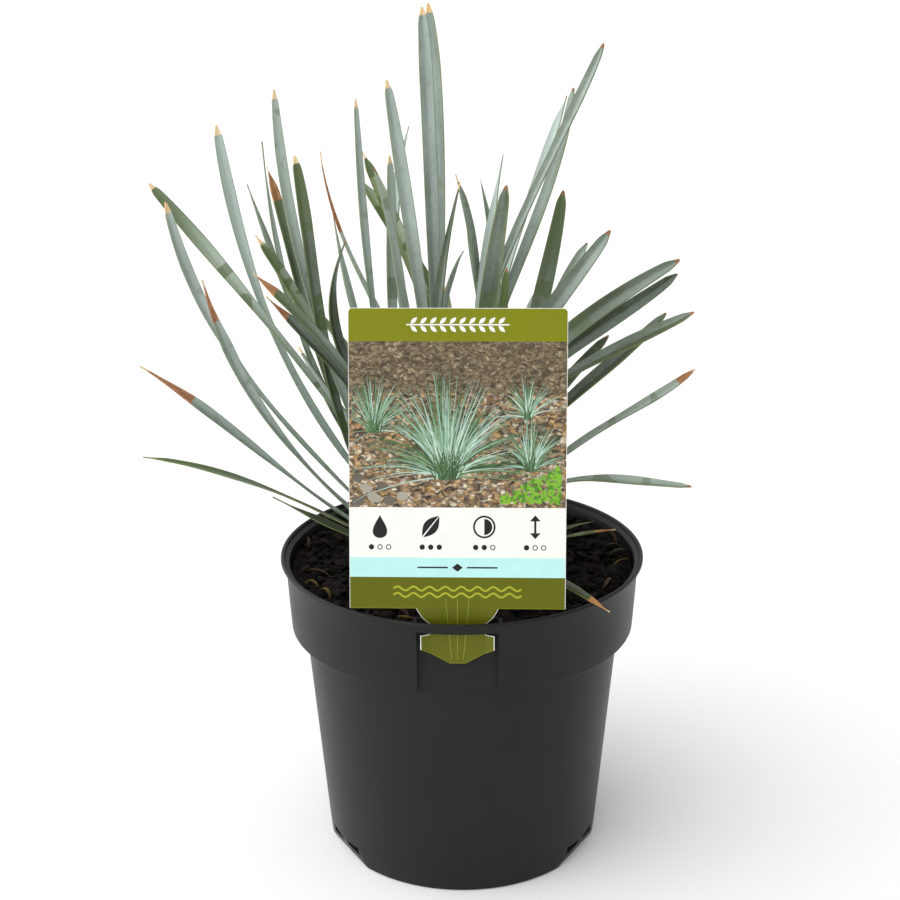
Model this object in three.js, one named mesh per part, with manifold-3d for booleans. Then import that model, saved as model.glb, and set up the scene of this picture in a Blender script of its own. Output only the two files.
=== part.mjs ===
// A lomandra, a tufted strap-leaved plant, in its black nursery pot with a plant label.
// Millimetres, +Z up. The origin lies under the pot's axis, on the surface that the pot stands on.
// The label is on the pot's -Y side.

import * as THREE from "three";
import { mergeVertices } from "three/addons/utils/BufferGeometryUtils.js";
import Module from "manifold-3d";

const wasm = await Module();
wasm.setup();

// Pot
const POT_HEIGHT = 127.6;
const RIM_RADIUS = 75;
const RIM_INNER_RADIUS = 73.3;
const RIM_BAND_HEIGHT = 4;
const COLLAR_BOTTOM = 96.7;
const COLLAR_RADIUS_TOP = 72.9;
const COLLAR_RADIUS_BOTTOM = 71.3;
const BODY_RADIUS_TOP = 65.6;
const BODY_RADIUS_BOTTOM = 57.3;
const WALL = 1.5;
const BASE_GROOVE = { inner: 20, outer: 47, depth: 1.2 };
const BASE_PLATE = 1.8;
const POT_SIDES = 60;
const EDGE = 0.6;

// Bay in the collar that holds the label's tongue, turned a little off the front
const BAY_WIDTH = 31;
const BAY_PANEL_Y = -67.5;
const BAY_TURN = -1.4;

// Drain notches round the foot of the pot
const NOTCH_AZIMUTHS = [90, 210, 330];
const NOTCH_HALF_ANGLE = 17.5;
const NOTCH_HEIGHT = 7.6;
const NOTCH_SLOT = { length: 9, height: 2.6, spacing: 13, level: 4.6 };
const BASE_HOLES = { count: 6, radius: 4, ringRadius: 34, sides: 10 };

// Potting mix, which keeps the fit gap from the pot and the sheaths
const SOIL_LEVEL = 119;
const SOIL_MOUND = { height: 2.5, spread: 32 };
const SOIL_RINGS = 8;
const SOIL_SIDES = 44;
const FIT_GAP = 0.35;
const PAST = 5;

// Plant label: a card that leans back, with a tongue that hangs in the bay
const LABEL = { width: 81, bottom: 132.5, top: 242.7, thickness: 0.8, corner: 1.6 };
const LABEL_LEAN = 12;
const TONGUE = { neckTop: 15.5, neck: 11, shoulder: 13.85, shoulderTop: 121.7, shoulderBottom: 115.9 };
const TONGUE_TIP = { halfWidth: 3, z: 109.7 };

// Leaves and the sheaths that hold them together
const LEAF_THICKNESS = 0.8;
const LEAF_STEPS = 8;
const SHEATH = { radius: 4.8, depth: 14, height: 24, flatten: 0.82, sides: 10 };
const LEAF_ROOT = { offset: 2.5, rise: 5 };

// Each shoot is a fan of leaves on one sheath. A leaf is [tip x, tip y, tip z, bow, sway, curl, width,
// face]: bow lifts its middle, sway moves it sideways, curl makes an S, and face is the azimuth, in
// degrees, that its flat side looks at. More leaves are added by rule where "more" gives their ranges.
const SHOOTS = {
  shoot_front_left: {
    at: [-13, -9],
    leaves: [
      [-124, -30, 179, 6, 0, -1, 4.8, -30],
      [-73, -40, 166, 0, 5, 0, 4.6, -35],
      [-95, -44, 253, -13, 2, 1, 5.4, -50],
      [-75, -52, 257, 12, 5, 0, 4.8, -45],
      [-72, -42, 246, 12, 1, 1, 4.6, -45],
      [-43, -30, 264, -2, -5, 10, 5, -50],
    ],
    more: { count: 2, azimuth: [212, 238], reach: [22, 40], height: [67, 107] },
  },
  shoot_left: {
    at: [-17, 3],
    leaves: [
      [-112, -14, 276, -13, 2, 2, 5.4, -50],
      [-127, -10, 210, -2, 1, -2, 5, -40],
      [-81, 6, 259, 4, -1, -1, 5.2, -50],
      [-70, -6, 317, -10, 8, 1, 5, -50],
      [-62, -18, 294, -12, -2, -3, 5.2, -55],
      [-40, 3, 312, -4, 3, 0, 5, -40],
    ],
    more: { count: 1, azimuth: [176, 186], reach: [40, 60], height: [57, 97] },
  },
  shoot_back_left: {
    at: [-12, 15],
    leaves: [
      [-123, 14, 278, 5, 5, 0, 5.6, -70],
      [-97, 26, 299, -17, 6, -1, 5.4, -65],
      [-88, 44, 272, -10, 2, -2, 4.6, -25],
      [-80, 34, 291, -19, -2, -1, 4.4, -25],
      [-77, 22, 283, -12, -1, -3, 5.2, -60],
      [-54, 52, 262, -5, 0, 1, 5, -40],
    ],
    more: { count: 4, azimuth: [108, 136], reach: [46, 84], height: [57, 97] },
  },
  shoot_front: {
    at: [0, -13],
    leaves: [
      [-27, -20, 322, 1, 1, 0, 5.6, -65],
      [0, -24, 285, 6, -10, -1, 5.2, -130],
      [17, -26, 284, 4, 1, 0, 6.2, -95],
      [17, -36, 255, 2, 5, 0, 5, -130],
      [1, -16, 257, 4, -7, -10, 4, -40],
    ],
    more: { count: 3, azimuth: [250, 290], reach: [12, 24], height: [57, 99] },
  },
  shoot_centre: {
    at: [-2, 1],
    leaves: [
      [-28, 18, 288, -13, 1, -3, 5.2, -50],
      [-34, 8, 285, 0, 6, -3, 4.6, -35],
      [-14, -8, 347, 0, -2, -1, 6, -85],
      [-12, 8, 347, -1, 0, -3, 5.4, -100],
    ],
  },
  shoot_back: {
    at: [1, 16],
    leaves: [
      [-57, 40, 286, 6, 4, 6, 5, -50],
      [-40, 40, 286, 14, -1, 2, 5.6, -70],
      [-41, 44, 274, 16, -14, 4, 5.6, -75],
      [-21, 48, 295, 4, 14, 7, 4.8, -130],
    ],
    more: { count: 5, azimuth: [72, 106], reach: [55, 105], height: [47, 127] },
  },
  shoot_back_right: {
    at: [13, 13],
    leaves: [
      [-2, 20, 280, 3, -1, -3, 4.8, -40],
      [8, 26, 277, 6, -4, -2, 4.8, -35],
      [2, 38, 264, 8, -1, 3, 4.4, -30],
      [17, 22, 288, 12, 5, 3, 5, -130],
      [43, 40, 308, 14, 8, 4, 4.8, -140],
      [52, 34, 249, 8, -2, -2, 5.4, -110],
      [62, 36, 209, 11, 1, 1, 5.4, -115],
      [35, 30, 237, 16, 2, 3, 4.4, -150],
    ],
    more: { count: 4, azimuth: [54, 80], reach: [38, 62], height: [50, 92] },
  },
  shoot_right: {
    at: [17, 1],
    leaves: [
      [52, -24, 335, 26, -5, 6, 5, -135],
      [43, 2, 316, 18, -3, 7, 5.2, -130],
      [40, 6, 276, 6, -3, 2, 6.2, -95],
      [85, -6, 251, 31, -7, 3, 6, -100],
      [85, 0, 244, 28, 4, 6, 5.6, -105],
      [95, 10, 202, 15, -5, 4, 5.2, -130],
      [57, 31, 127, 2, 0, 0, 3, -140],
    ],
  },
  shoot_front_right: {
    at: [13, -11],
    leaves: [
      [55, -36, 269, 21, -4, 4, 6.4, -95],
      [86, -44, 240, 29, -2, 5, 5.4, -125],
      [78, -26, 235, 16, 0, 4, 5.2, -125],
      [90, -30, 166, 21, 2, 4, 5, -150],
      [56, -64, 128, 7, -3, 0, 3.8, -150],
      [66, 24, 126, 2, 3, 0, 2, -143],
    ],
    more: { count: 2, azimuth: [300, 322], reach: [14, 28], height: [57, 97] },
  },
};
const LEAF_SEED = 20251;

// Colours, roughness and metalness
const finish = (color, roughness) => new THREE.MeshStandardMaterial({ color, roughness, metalness: 0 });
const MATERIALS = {
  pot: finish(0x1c1e20, 0.42),
  soil: finish(0x1d1714, 0.95),
  label: finish(0xb9b48c, 0.35),
  leaf: finish(0x6f8580, 0.6),
};

const radians = THREE.MathUtils.degToRad;

// Closed geometry to a solid that can be joined and cut
function solid(geometry) {
  const bare = geometry.index ? geometry.toNonIndexed() : geometry.clone();
  bare.deleteAttribute("normal");
  bare.deleteAttribute("uv");
  const merged = mergeVertices(bare, 1e-4);
  return new wasm.Manifold(new wasm.Mesh({
    numProp: 3,
    vertProperties: new Float32Array(merged.attributes.position.array),
    triVerts: new Uint32Array(merged.index.array),
  }));
}

// The largest body of a solid, which leaves out loose scraps and fills sealed hollows
function mainBody(shape) {
  const bodies = shape.decompose();
  return bodies.reduce((best, body) => (body.volume() > best.volume() ? body : best));
}

function nodeMesh(name, shape, material) {
  const data = shape.getMesh();
  const geometry = new THREE.BufferGeometry();
  geometry.setAttribute("position", new THREE.BufferAttribute(new Float32Array(data.vertProperties), 3));
  geometry.setIndex(new THREE.BufferAttribute(new Uint32Array(data.triVerts), 1));
  geometry.computeVertexNormals();
  const mesh = new THREE.Mesh(geometry, material);
  mesh.name = name;
  return mesh;
}

// A box given by its lowest and highest corners
function block(low, high) {
  const size = high.map((value, axis) => value - low[axis]);
  const geometry = new THREE.BoxGeometry(...size);
  geometry.translate(...low.map((value, axis) => value + size[axis] / 2));
  return geometry;
}

// A profile of [radius, z] points turned about Z
function turnedSolid(profile, sides) {
  const points = profile.map(([radius, z]) => new THREE.Vector2(radius, z));
  return solid(new THREE.LatheGeometry(points, sides).rotateX(Math.PI / 2));
}

// Outer radius of the tapered body at height z
const bodyRadius = (z) =>
  BODY_RADIUS_BOTTOM + (BODY_RADIUS_TOP - BODY_RADIUS_BOTTOM) * (z / COLLAR_BOTTOM);

function potOutline() {
  const rimBottom = POT_HEIGHT - RIM_BAND_HEIGHT;
  const { inner, outer, depth } = BASE_GROOVE;
  return [
    [0, 0],
    [inner, 0],
    [inner + depth, depth],
    [outer - depth, depth],
    [outer, 0],
    [BODY_RADIUS_BOTTOM - EDGE, 0],
    [bodyRadius(EDGE), EDGE],
    [BODY_RADIUS_TOP, COLLAR_BOTTOM],
    [COLLAR_RADIUS_BOTTOM - EDGE, COLLAR_BOTTOM],
    [COLLAR_RADIUS_BOTTOM, COLLAR_BOTTOM + EDGE],
    [COLLAR_RADIUS_TOP, rimBottom - EDGE],
    [RIM_RADIUS - EDGE, rimBottom],
    [RIM_RADIUS, rimBottom + EDGE],
    [RIM_RADIUS, POT_HEIGHT - EDGE],
    [RIM_RADIUS - EDGE, POT_HEIGHT],
    [RIM_INNER_RADIUS + EDGE, POT_HEIGHT],
  ];
}

function potInside() {
  return [
    [RIM_INNER_RADIUS, POT_HEIGHT - EDGE],
    [COLLAR_RADIUS_TOP - WALL, POT_HEIGHT - RIM_BAND_HEIGHT - EDGE],
    [COLLAR_RADIUS_BOTTOM - WALL, COLLAR_BOTTOM + WALL],
    [BODY_RADIUS_TOP - WALL, COLLAR_BOTTOM + WALL],
    [bodyRadius(BASE_GROOVE.depth + BASE_PLATE) - WALL, BASE_GROOVE.depth + BASE_PLATE],
    [0, BASE_GROOVE.depth + BASE_PLATE],
  ];
}

// The bay's inside, open at the front under the rim and open to the sky behind the rim
function bayCut() {
  const half = BAY_WIDTH / 2;
  const underRim = POT_HEIGHT - RIM_BAND_HEIGHT;
  const [low, high] = [underRim - PAST, POT_HEIGHT + PAST];
  const front = solid(block([-half, -RIM_RADIUS - PAST, COLLAR_BOTTOM - 1], [half, BAY_PANEL_Y, underRim]));
  const slot = solid(block([-half, -RIM_RADIUS, low], [half, BAY_PANEL_Y, high]));
  const rimBore = [[0, low], [RIM_INNER_RADIUS, low], [RIM_INNER_RADIUS, high], [0, high]];
  return front.add(slot.intersect(turnedSolid(rimBore, POT_SIDES))).rotate([0, 0, BAY_TURN]);
}

// The walls round the bay, before the pot's outer form trims them
function bayWalls() {
  const half = BAY_WIDTH / 2;
  const top = POT_HEIGHT - EDGE;
  const wide = half + WALL;
  const outside = solid(block([-wide, -RIM_RADIUS, COLLAR_BOTTOM], [wide, BAY_PANEL_Y + WALL, top]));
  const inside = solid(block([-half, -RIM_RADIUS - PAST, COLLAR_BOTTOM - 1], [half, BAY_PANEL_Y, top + 1]));
  return outside.subtract(inside).rotate([0, 0, BAY_TURN]);
}

// One drain notch: what it takes off the foot, the flat wall that closes it, and its slots
function drainNotch(azimuth) {
  const chord = bodyRadius(0) * Math.cos(radians(NOTCH_HALF_ANGLE));
  const reachOut = bodyRadius(NOTCH_HEIGHT) - chord;
  const slope = Math.atan2(reachOut, NOTCH_HEIGHT);
  const side = bodyRadius(0) * Math.sin(radians(NOTCH_HALF_ANGLE)) + PAST;
  const place = (geometry) => geometry.rotateY(slope).translate(chord, 0, 0).rotateZ(radians(azimuth));
  const tall = NOTCH_HEIGHT / Math.cos(slope);
  const off = solid(place(block([0, -side, -PAST], [4 * PAST, side, tall + 2 * PAST])));
  const wall = solid(place(block([-WALL, -side, -PAST], [0, side, tall])));
  const slots = [-1, 1].map((side) => {
    const middle = (side * NOTCH_SLOT.spacing) / 2;
    const low = [-PAST, middle - NOTCH_SLOT.length / 2, NOTCH_SLOT.level];
    const high = [PAST, middle + NOTCH_SLOT.length / 2, NOTCH_SLOT.level + NOTCH_SLOT.height];
    return solid(place(block(low, high)));
  });
  return { off, wall, slots };
}

function makePot() {
  const outside = turnedSolid([...potOutline(), [0, POT_HEIGHT]], POT_SIDES);
  const shell = turnedSolid([...potOutline(), ...potInside()], POT_SIDES);
  let pot = shell.subtract(bayCut()).add(bayWalls().intersect(outside));
  for (const azimuth of NOTCH_AZIMUTHS) {
    const notch = drainNotch(azimuth);
    pot = pot.subtract(notch.off).add(notch.wall.intersect(outside));
    for (const slot of notch.slots) pot = pot.subtract(slot);
  }
  for (let i = 0; i < BASE_HOLES.count; i += 1) {
    const turn = ((i + 0.5) / BASE_HOLES.count) * 2 * Math.PI;
    const { radius, ringRadius, sides } = BASE_HOLES;
    const hole = new THREE.CylinderGeometry(radius, radius, 2 * PAST, sides).rotateX(Math.PI / 2);
    hole.translate(ringRadius * Math.cos(turn), ringRadius * Math.sin(turn), 0);
    pot = pot.subtract(solid(hole));
  }
  return mainBody(pot);
}

// Height of the potting mix: a low mound under the shoots with crumbs and bark chips
function soilHeight(x, y) {
  const r = Math.hypot(x, y);
  const mound = SOIL_MOUND.height * Math.exp(-((r / SOIL_MOUND.spread) ** 2));
  const chipRows = Math.sin(x * 0.43 + 1.7 * Math.sin(y * 0.31));
  const chips = 0.9 * chipRows * Math.cos(y * 0.52 + 1.3 * Math.sin(x * 0.23));
  const crumbs = 0.55 * Math.sin(x * 1.07 + 0.9) * Math.sin(y * 0.93 + 2.1);
  return SOIL_LEVEL + mound + chips + crumbs;
}

function makeSoil() {
  const floor = BASE_GROOVE.depth + BASE_PLATE + FIT_GAP;
  const footZ = NOTCH_HEIGHT + PAST;
  const wallAt = (z) => bodyRadius(z) - WALL - FIT_GAP;
  const footRadius = bodyRadius(0) * Math.cos(radians(NOTCH_HALF_ANGLE)) - WALL - 1;
  const ledge = COLLAR_BOTTOM + WALL + FIT_GAP;
  const flare = (COLLAR_RADIUS_TOP - COLLAR_RADIUS_BOTTOM) / (POT_HEIGHT - COLLAR_BOTTOM);
  const collarAt = (z) => COLLAR_RADIUS_BOTTOM - WALL - FIT_GAP + flare * (z - COLLAR_BOTTOM);
  const side = [
    [footRadius, floor],
    [wallAt(footZ), footZ],
    [wallAt(ledge), ledge],
    [collarAt(ledge), ledge],
  ];
  const rings = side.map(([radius, z]) => ({ radius, z: () => z }));
  for (let i = 0; i < SOIL_RINGS; i += 1) {
    const radius = collarAt(SOIL_LEVEL) * (1 - i / SOIL_RINGS);
    rings.push({ radius, z: soilHeight });
  }
  const points = [[0, 0, floor]];
  for (const ring of rings) {
    for (let k = 0; k < SOIL_SIDES; k += 1) {
      const turn = (k / SOIL_SIDES) * 2 * Math.PI;
      const [x, y] = [ring.radius * Math.cos(turn), ring.radius * Math.sin(turn)];
      points.push([x, y, ring.z(x, y)]);
    }
  }
  points.push([0, 0, soilHeight(0, 0)]);
  const at = (ring, k) => 1 + ring * SOIL_SIDES + (k % SOIL_SIDES);
  const faces = [];
  for (let k = 0; k < SOIL_SIDES; k += 1) {
    faces.push([0, at(0, k + 1), at(0, k)]);
    for (let ring = 0; ring + 1 < rings.length; ring += 1) {
      faces.push([at(ring, k), at(ring, k + 1), at(ring + 1, k + 1)]);
      faces.push([at(ring, k), at(ring + 1, k + 1), at(ring + 1, k)]);
    }
    faces.push([at(rings.length - 1, k), at(rings.length - 1, k + 1), points.length - 1]);
  }
  let soil = solid(meshFrom(points, faces));
  const half = BAY_WIDTH / 2 + WALL + FIT_GAP;
  const bayBack = BAY_PANEL_Y + WALL + FIT_GAP;
  const bay = solid(block([-half, -RIM_RADIUS, COLLAR_BOTTOM - PAST], [half, bayBack, POT_HEIGHT]));
  soil = soil.subtract(bay.rotate([0, 0, BAY_TURN]));
  for (const shoot of Object.values(SHOOTS)) soil = soil.subtract(sheathHole(shoot));
  return mainBody(soil);
}

function meshFrom(points, faces) {
  const geometry = new THREE.BufferGeometry();
  geometry.setAttribute("position", new THREE.BufferAttribute(new Float32Array(points.flat()), 3));
  geometry.setIndex(faces.flat());
  return geometry;
}

// The label's side view is a bent strip, and its front view an outline; the label is where they meet
function makeLabel() {
  const tongueY = FIT_GAP - Math.sqrt(RIM_INNER_RADIUS ** 2 - TONGUE.shoulder ** 2);
  const rise = LABEL.top - LABEL.bottom;
  const lean = rise * Math.tan(radians(LABEL_LEAN));
  const thick = LABEL.thickness;
  const strip = new THREE.Shape();
  strip.moveTo(tongueY, TONGUE_TIP.z - PAST);
  strip.lineTo(tongueY + thick, TONGUE_TIP.z - PAST);
  strip.lineTo(tongueY + thick, LABEL.bottom);
  strip.lineTo(tongueY + thick + lean, LABEL.top);
  strip.lineTo(tongueY + lean, LABEL.top);
  strip.lineTo(tongueY, LABEL.bottom);
  const depth = LABEL.width + 2 * PAST;
  const sheet = new THREE.ExtrudeGeometry(strip, { depth, bevelEnabled: false });
  sheet.translate(0, 0, -depth / 2).rotateY(Math.PI / 2).rotateX(Math.PI / 2);

  const half = LABEL.width / 2;
  const { neckTop, neck, shoulder, shoulderTop, shoulderBottom } = TONGUE;
  const outline = new THREE.Shape();
  outline.moveTo(-half, LABEL.bottom);
  outline.lineTo(-neckTop, LABEL.bottom);
  outline.quadraticCurveTo(-neck, LABEL.bottom - 1, -neck, shoulderTop + 3);
  outline.lineTo(-neck, shoulderTop);
  outline.lineTo(-shoulder, shoulderTop);
  outline.lineTo(-shoulder, shoulderBottom);
  outline.lineTo(-TONGUE_TIP.halfWidth, TONGUE_TIP.z);
  outline.lineTo(TONGUE_TIP.halfWidth, TONGUE_TIP.z);
  outline.lineTo(shoulder, shoulderBottom);
  outline.lineTo(shoulder, shoulderTop);
  outline.lineTo(neck, shoulderTop);
  outline.lineTo(neck, shoulderTop + 3);
  outline.quadraticCurveTo(neck, LABEL.bottom - 1, neckTop, LABEL.bottom);
  outline.lineTo(half, LABEL.bottom);
  outline.lineTo(half, LABEL.top - LABEL.corner);
  outline.absarc(half - LABEL.corner, LABEL.top - LABEL.corner, LABEL.corner, 0, Math.PI / 2, false);
  outline.absarc(-half + LABEL.corner, LABEL.top - LABEL.corner, LABEL.corner, Math.PI / 2, Math.PI, false);
  const through = { depth: RIM_RADIUS + PAST, bevelEnabled: false, curveSegments: 6 };
  const front = new THREE.ExtrudeGeometry(outline, through).rotateX(Math.PI / 2);
  const label = solid(sheet).intersect(solid(front));
  return mainBody(label.rotate([0, 0, BAY_TURN]));
}

// A sheath is a short flattened cone with its foot in the potting mix
function sheathProfile(grow) {
  const { radius, depth, height } = SHEATH;
  return [
    [0, -depth - grow],
    [radius * 0.9 + grow, -depth - grow],
    [radius + grow, 4],
    [radius * 0.86 + grow, height * 0.55],
    [radius * 0.5 + grow, height],
    [0, height + 3],
  ];
}

function placedSheath(shoot, profile) {
  const outward = THREE.MathUtils.radToDeg(Math.atan2(shoot.at[1], shoot.at[0]));
  return turnedSolid(profile, SHEATH.sides)
    .scale([SHEATH.flatten, 1, 1])
    .rotate([0, 0, outward])
    .translate([...shoot.at, SOIL_LEVEL]);
}

function sheathHole(shoot) {
  const profile = sheathProfile(FIT_GAP).slice(0, 3);
  const [mouth] = profile[profile.length - 1];
  profile.push([mouth, SHEATH.height], [0, SHEATH.height]);
  return placedSheath(shoot, profile);
}

// Leaf centreline from root to tip
function leafPoint(root, tip, [bow, sway, curl], t) {
  const reach = new THREE.Vector3().subVectors(tip, root);
  const level = new THREE.Vector3(reach.x, reach.y, 0).normalize();
  const side = new THREE.Vector3(-level.y, level.x, 0);
  const lift = new THREE.Vector3().crossVectors(reach, side).normalize();
  if (lift.z < 0) lift.negate();
  const arch = 4 * t * (1 - t);
  const wave = 2.6 * arch * (1 - 2 * t);
  return root.clone()
    .addScaledVector(reach, t)
    .addScaledVector(lift, bow * arch + curl * wave)
    .addScaledVector(side, sway * arch);
}

// Share of a leaf's full width at t: narrower in the sheath, tapered near the blunt tip
function leafWidth(t) {
  const fromSheath = 0.7 + 0.3 * Math.sin((Math.PI / 2) * Math.min(t / 0.35, 1));
  return fromSheath * (1 - 0.64 * t ** 8);
}

function leafSolid(at, [tipX, tipY, tipZ, bow, sway, curl, width, face]) {
  const tip = new THREE.Vector3(tipX, tipY, tipZ);
  const away = new THREE.Vector2(tipX - at[0], tipY - at[1]).setLength(LEAF_ROOT.offset);
  const root = new THREE.Vector3(at[0] + away.x, at[1] + away.y, SOIL_LEVEL + LEAF_ROOT.rise);
  const facing = new THREE.Vector3(Math.cos(radians(face)), Math.sin(radians(face)), 0.3);
  const points = [];
  for (let i = 0; i <= LEAF_STEPS; i += 1) {
    const t = i / LEAF_STEPS;
    const centre = leafPoint(root, tip, [bow, sway, curl], t);
    const before = leafPoint(root, tip, [bow, sway, curl], t - 0.01);
    const after = leafPoint(root, tip, [bow, sway, curl], t + 0.01);
    const along = after.sub(before).normalize();
    const across = new THREE.Vector3().crossVectors(along, facing).normalize();
    const normal = new THREE.Vector3().crossVectors(along, across);
    const half = (width * leafWidth(t)) / 2;
    for (const [u, v] of [[-1, 1], [1, 1], [1, -1], [-1, -1]]) {
      const corner = centre.clone().addScaledVector(across, u * half);
      points.push(corner.addScaledVector(normal, (v * LEAF_THICKNESS) / 2).toArray());
    }
  }
  const faces = [[0, 1, 2], [0, 2, 3]];
  for (let i = 0; i < LEAF_STEPS; i += 1) {
    const [a, b] = [4 * i, 4 * i + 4];
    faces.push([a + 1, a, b + 1], [a, b, b + 1]);
    faces.push([a + 3, a + 2, b + 2], [a + 3, b + 2, b + 3]);
    faces.push([a + 2, a + 1, b + 1], [a + 2, b + 1, b + 2]);
    faces.push([a, a + 3, b], [a + 3, b + 3, b]);
  }
  const end = 4 * LEAF_STEPS;
  faces.push([end + 1, end, end + 2], [end, end + 3, end + 2]);
  return solid(meshFrom(points, faces));
}

// Repeatable random numbers from 0 to 1
function seededRandom(seed) {
  let state = seed >>> 0;
  return () => {
    state = (Math.imul(state, 1664525) + 1013904223) >>> 0;
    return state / 4294967296;
  };
}

// Leaves on the plant's hidden sides: spread evenly over their range, with a little chance in each
function ruledLeaves({ at, more }, random) {
  if (!more) return [];
  const between = ([low, high], share) => low + (high - low) * share;
  return Array.from({ length: more.count }, (_, i) => {
    const azimuth = between(more.azimuth, (i + 0.2 + 0.6 * random()) / more.count);
    const reach = between(more.reach, random());
    const height = between(more.height, 1 - random() * random());
    const tipX = at[0] + reach * Math.cos(radians(azimuth));
    const tipY = at[1] + reach * Math.sin(radians(azimuth));
    const bow = reach * (0.1 + 0.15 * random());
    const face = azimuth + 180 + 70 * (random() - 0.5);
    return [tipX, tipY, SOIL_LEVEL + height, bow, 0, 2, 4.8 + random(), face];
  });
}

function makeShoot(shoot, random) {
  let shape = placedSheath(shoot, sheathProfile(0));
  for (const leaf of [...shoot.leaves, ...ruledLeaves(shoot, random)]) {
    shape = shape.add(leafSolid(shoot.at, leaf));
  }
  return mainBody(shape);
}

const plantedPot = new THREE.Group();
plantedPot.add(nodeMesh("pot", makePot(), MATERIALS.pot));
plantedPot.add(nodeMesh("potting_mix", makeSoil(), MATERIALS.soil));
plantedPot.add(nodeMesh("plant_label", makeLabel(), MATERIALS.label));
const random = seededRandom(LEAF_SEED);
for (const [name, shoot] of Object.entries(SHOOTS)) {
  plantedPot.add(nodeMesh(name, makeShoot(shoot, random), MATERIALS.leaf));
}

export default plantedPot;
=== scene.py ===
"""The looks of a potted lomandra: its pot, potting mix, label and leaves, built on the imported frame."""

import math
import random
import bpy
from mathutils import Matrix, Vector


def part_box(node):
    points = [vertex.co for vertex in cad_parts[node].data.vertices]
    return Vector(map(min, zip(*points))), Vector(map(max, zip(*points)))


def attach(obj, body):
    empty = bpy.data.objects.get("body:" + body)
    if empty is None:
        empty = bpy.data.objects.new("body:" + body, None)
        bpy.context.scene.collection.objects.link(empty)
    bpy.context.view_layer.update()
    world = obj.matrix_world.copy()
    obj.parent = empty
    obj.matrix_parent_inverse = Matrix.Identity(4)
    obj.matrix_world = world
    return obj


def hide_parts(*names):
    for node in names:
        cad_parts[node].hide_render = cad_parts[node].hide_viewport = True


bl_info = {
    "name": "Potted lomandra",
    "version": (1, 0, 0),
    "blender": (4, 5, 0),
    "location": "View3D > Sidebar > Lomandra",
    "description": "Models a potted lomandra with its label on a fixed frame",
    "category": "Object",
}

import bpy
from bpy.props import FloatProperty, FloatVectorProperty, IntProperty, PointerProperty
from mathutils import Matrix, Vector, noise

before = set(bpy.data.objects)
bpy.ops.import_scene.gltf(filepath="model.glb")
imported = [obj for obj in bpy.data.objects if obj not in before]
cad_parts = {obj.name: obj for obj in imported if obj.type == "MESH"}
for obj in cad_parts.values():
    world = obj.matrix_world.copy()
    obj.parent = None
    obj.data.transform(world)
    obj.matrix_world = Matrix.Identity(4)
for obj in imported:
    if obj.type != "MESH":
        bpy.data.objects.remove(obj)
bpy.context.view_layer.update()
POT_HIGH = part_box("pot")[1]
MM = 0.001

# Pot, in millimetres, as in the frame
RIM_INNER_RADIUS = 73.3
RIM_BAND = 4.8
# How far under the rim's top the collar starts and ends to swell into the rim
RIM_SWELL = (2.8, 1.3)
COLLAR_BOTTOM = 96.7
COLLAR_RADIUS_TOP = 72.9
COLLAR_RADIUS_BOTTOM = 71.3
BODY_RADIUS_TOP = 65.6
BODY_RADIUS_BOTTOM = 57.3
BASE_PLATE = 3.0
# Heights of the points on the tapered body
BODY_RINGS = (10, 34, 60, 88)
# How much wider the collar is, and how far above its bottom
COLLAR_SWELL = (0.8, 13.0)
FOOT_ROUND = 1.2
SHELF_ROUND = 0.8
COLLAR_ROUND = 0.7
# Groove under the base: inner and outer radius, and depth
GROOVE = (20.0, 47.0, 1.2)
BAY_WIDTH = 31.0
BAY_PANEL_Y = -67.5
BAY_TURN = math.radians(-1.4)
NOTCH_AZIMUTHS = (90, 210, 330)
NOTCH_HALF_ANGLE = math.radians(17.5)
NOTCH_HEIGHT = 7.6
# Slots of a notch: how far apart, how long, and their lower and upper edge
NOTCH_SLOTS = (13.0, 9.0, 5.0, 8.2)
# Holes in the base: how many, how far from the middle, and their radius
DRAIN_HOLES = (6, 34.0, 4.0)
SOFT_EDGE = 0.35
POT_STEPS = 160
# How far a cutting shape reaches past what it cuts
PAST = 5.0

# Potting mix
SOIL_LEVEL = 119.0
# Mound in the middle: height and reach
MOUND = (2.5, 32.0)
# Bank along the wall: height, radius where it starts, and reach
EDGE_BANK = (2.6, 50.0, 17.0)
MIX_GAP = 1.9
MIX_FLOOR = 3.35
MIX_RINGS = 64
SOIL_STEPS = 120
STRIP_LIFT = 2.0

# Strips of dead leaf that the photo shows on the mix: start, end, width, arch and kind of finish
STRIPS = (
    ((64.0, 29.0), (66.0, 17.5), 1.7, 1.6, 0),
    ((61.0, 13.0), (68.0, 11.9), 1.6, 1.2, 0),
    ((62.0, 4.0), (69.0, 7.0), 1.8, 1.2, 2),
    ((60.5, -10.5), (69.0, -3.0), 0.6, 1.8, 1),
    ((56.3, -32.2), (60.4, -19.6), 1.8, 1.0, 0),
    ((44.1, 13.2), (47.2, 8.9), 0.7, 1.0, 0),
    ((-64.3, -10.8), (-53.9, -14.5), 1.0, 1.4, 0),
    ((-63.0, -25.4), (-57.4, -29.5), 1.0, 1.8, 1),
    ((-56.0, -31.5), (-52.2, -37.5), 1.4, 1.4, 1),
    ((-66.0, 22.0), (-64.9, 11.0), 1.0, 0.8, 0),
)

# Label
LABEL_BOTTOM = 132.5
LABEL_TOP = 242.7
LABEL_LEAN = math.radians(12)
# Heights where one printed band gives way to the next, from the top
LABEL_BANDS = (230.7, 212.0, 170.1, 151.5, 144.2)
LABEL_MARGIN = 0.18
TONGUE_Y = -70.4
# Where the tongue's two flaps start to bend forward, how steeply, and the height they end under
FLAP_FOLD = 10.3
FLAP_SLOPE = 0.42
FLAP_TOP = 122.0
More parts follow.
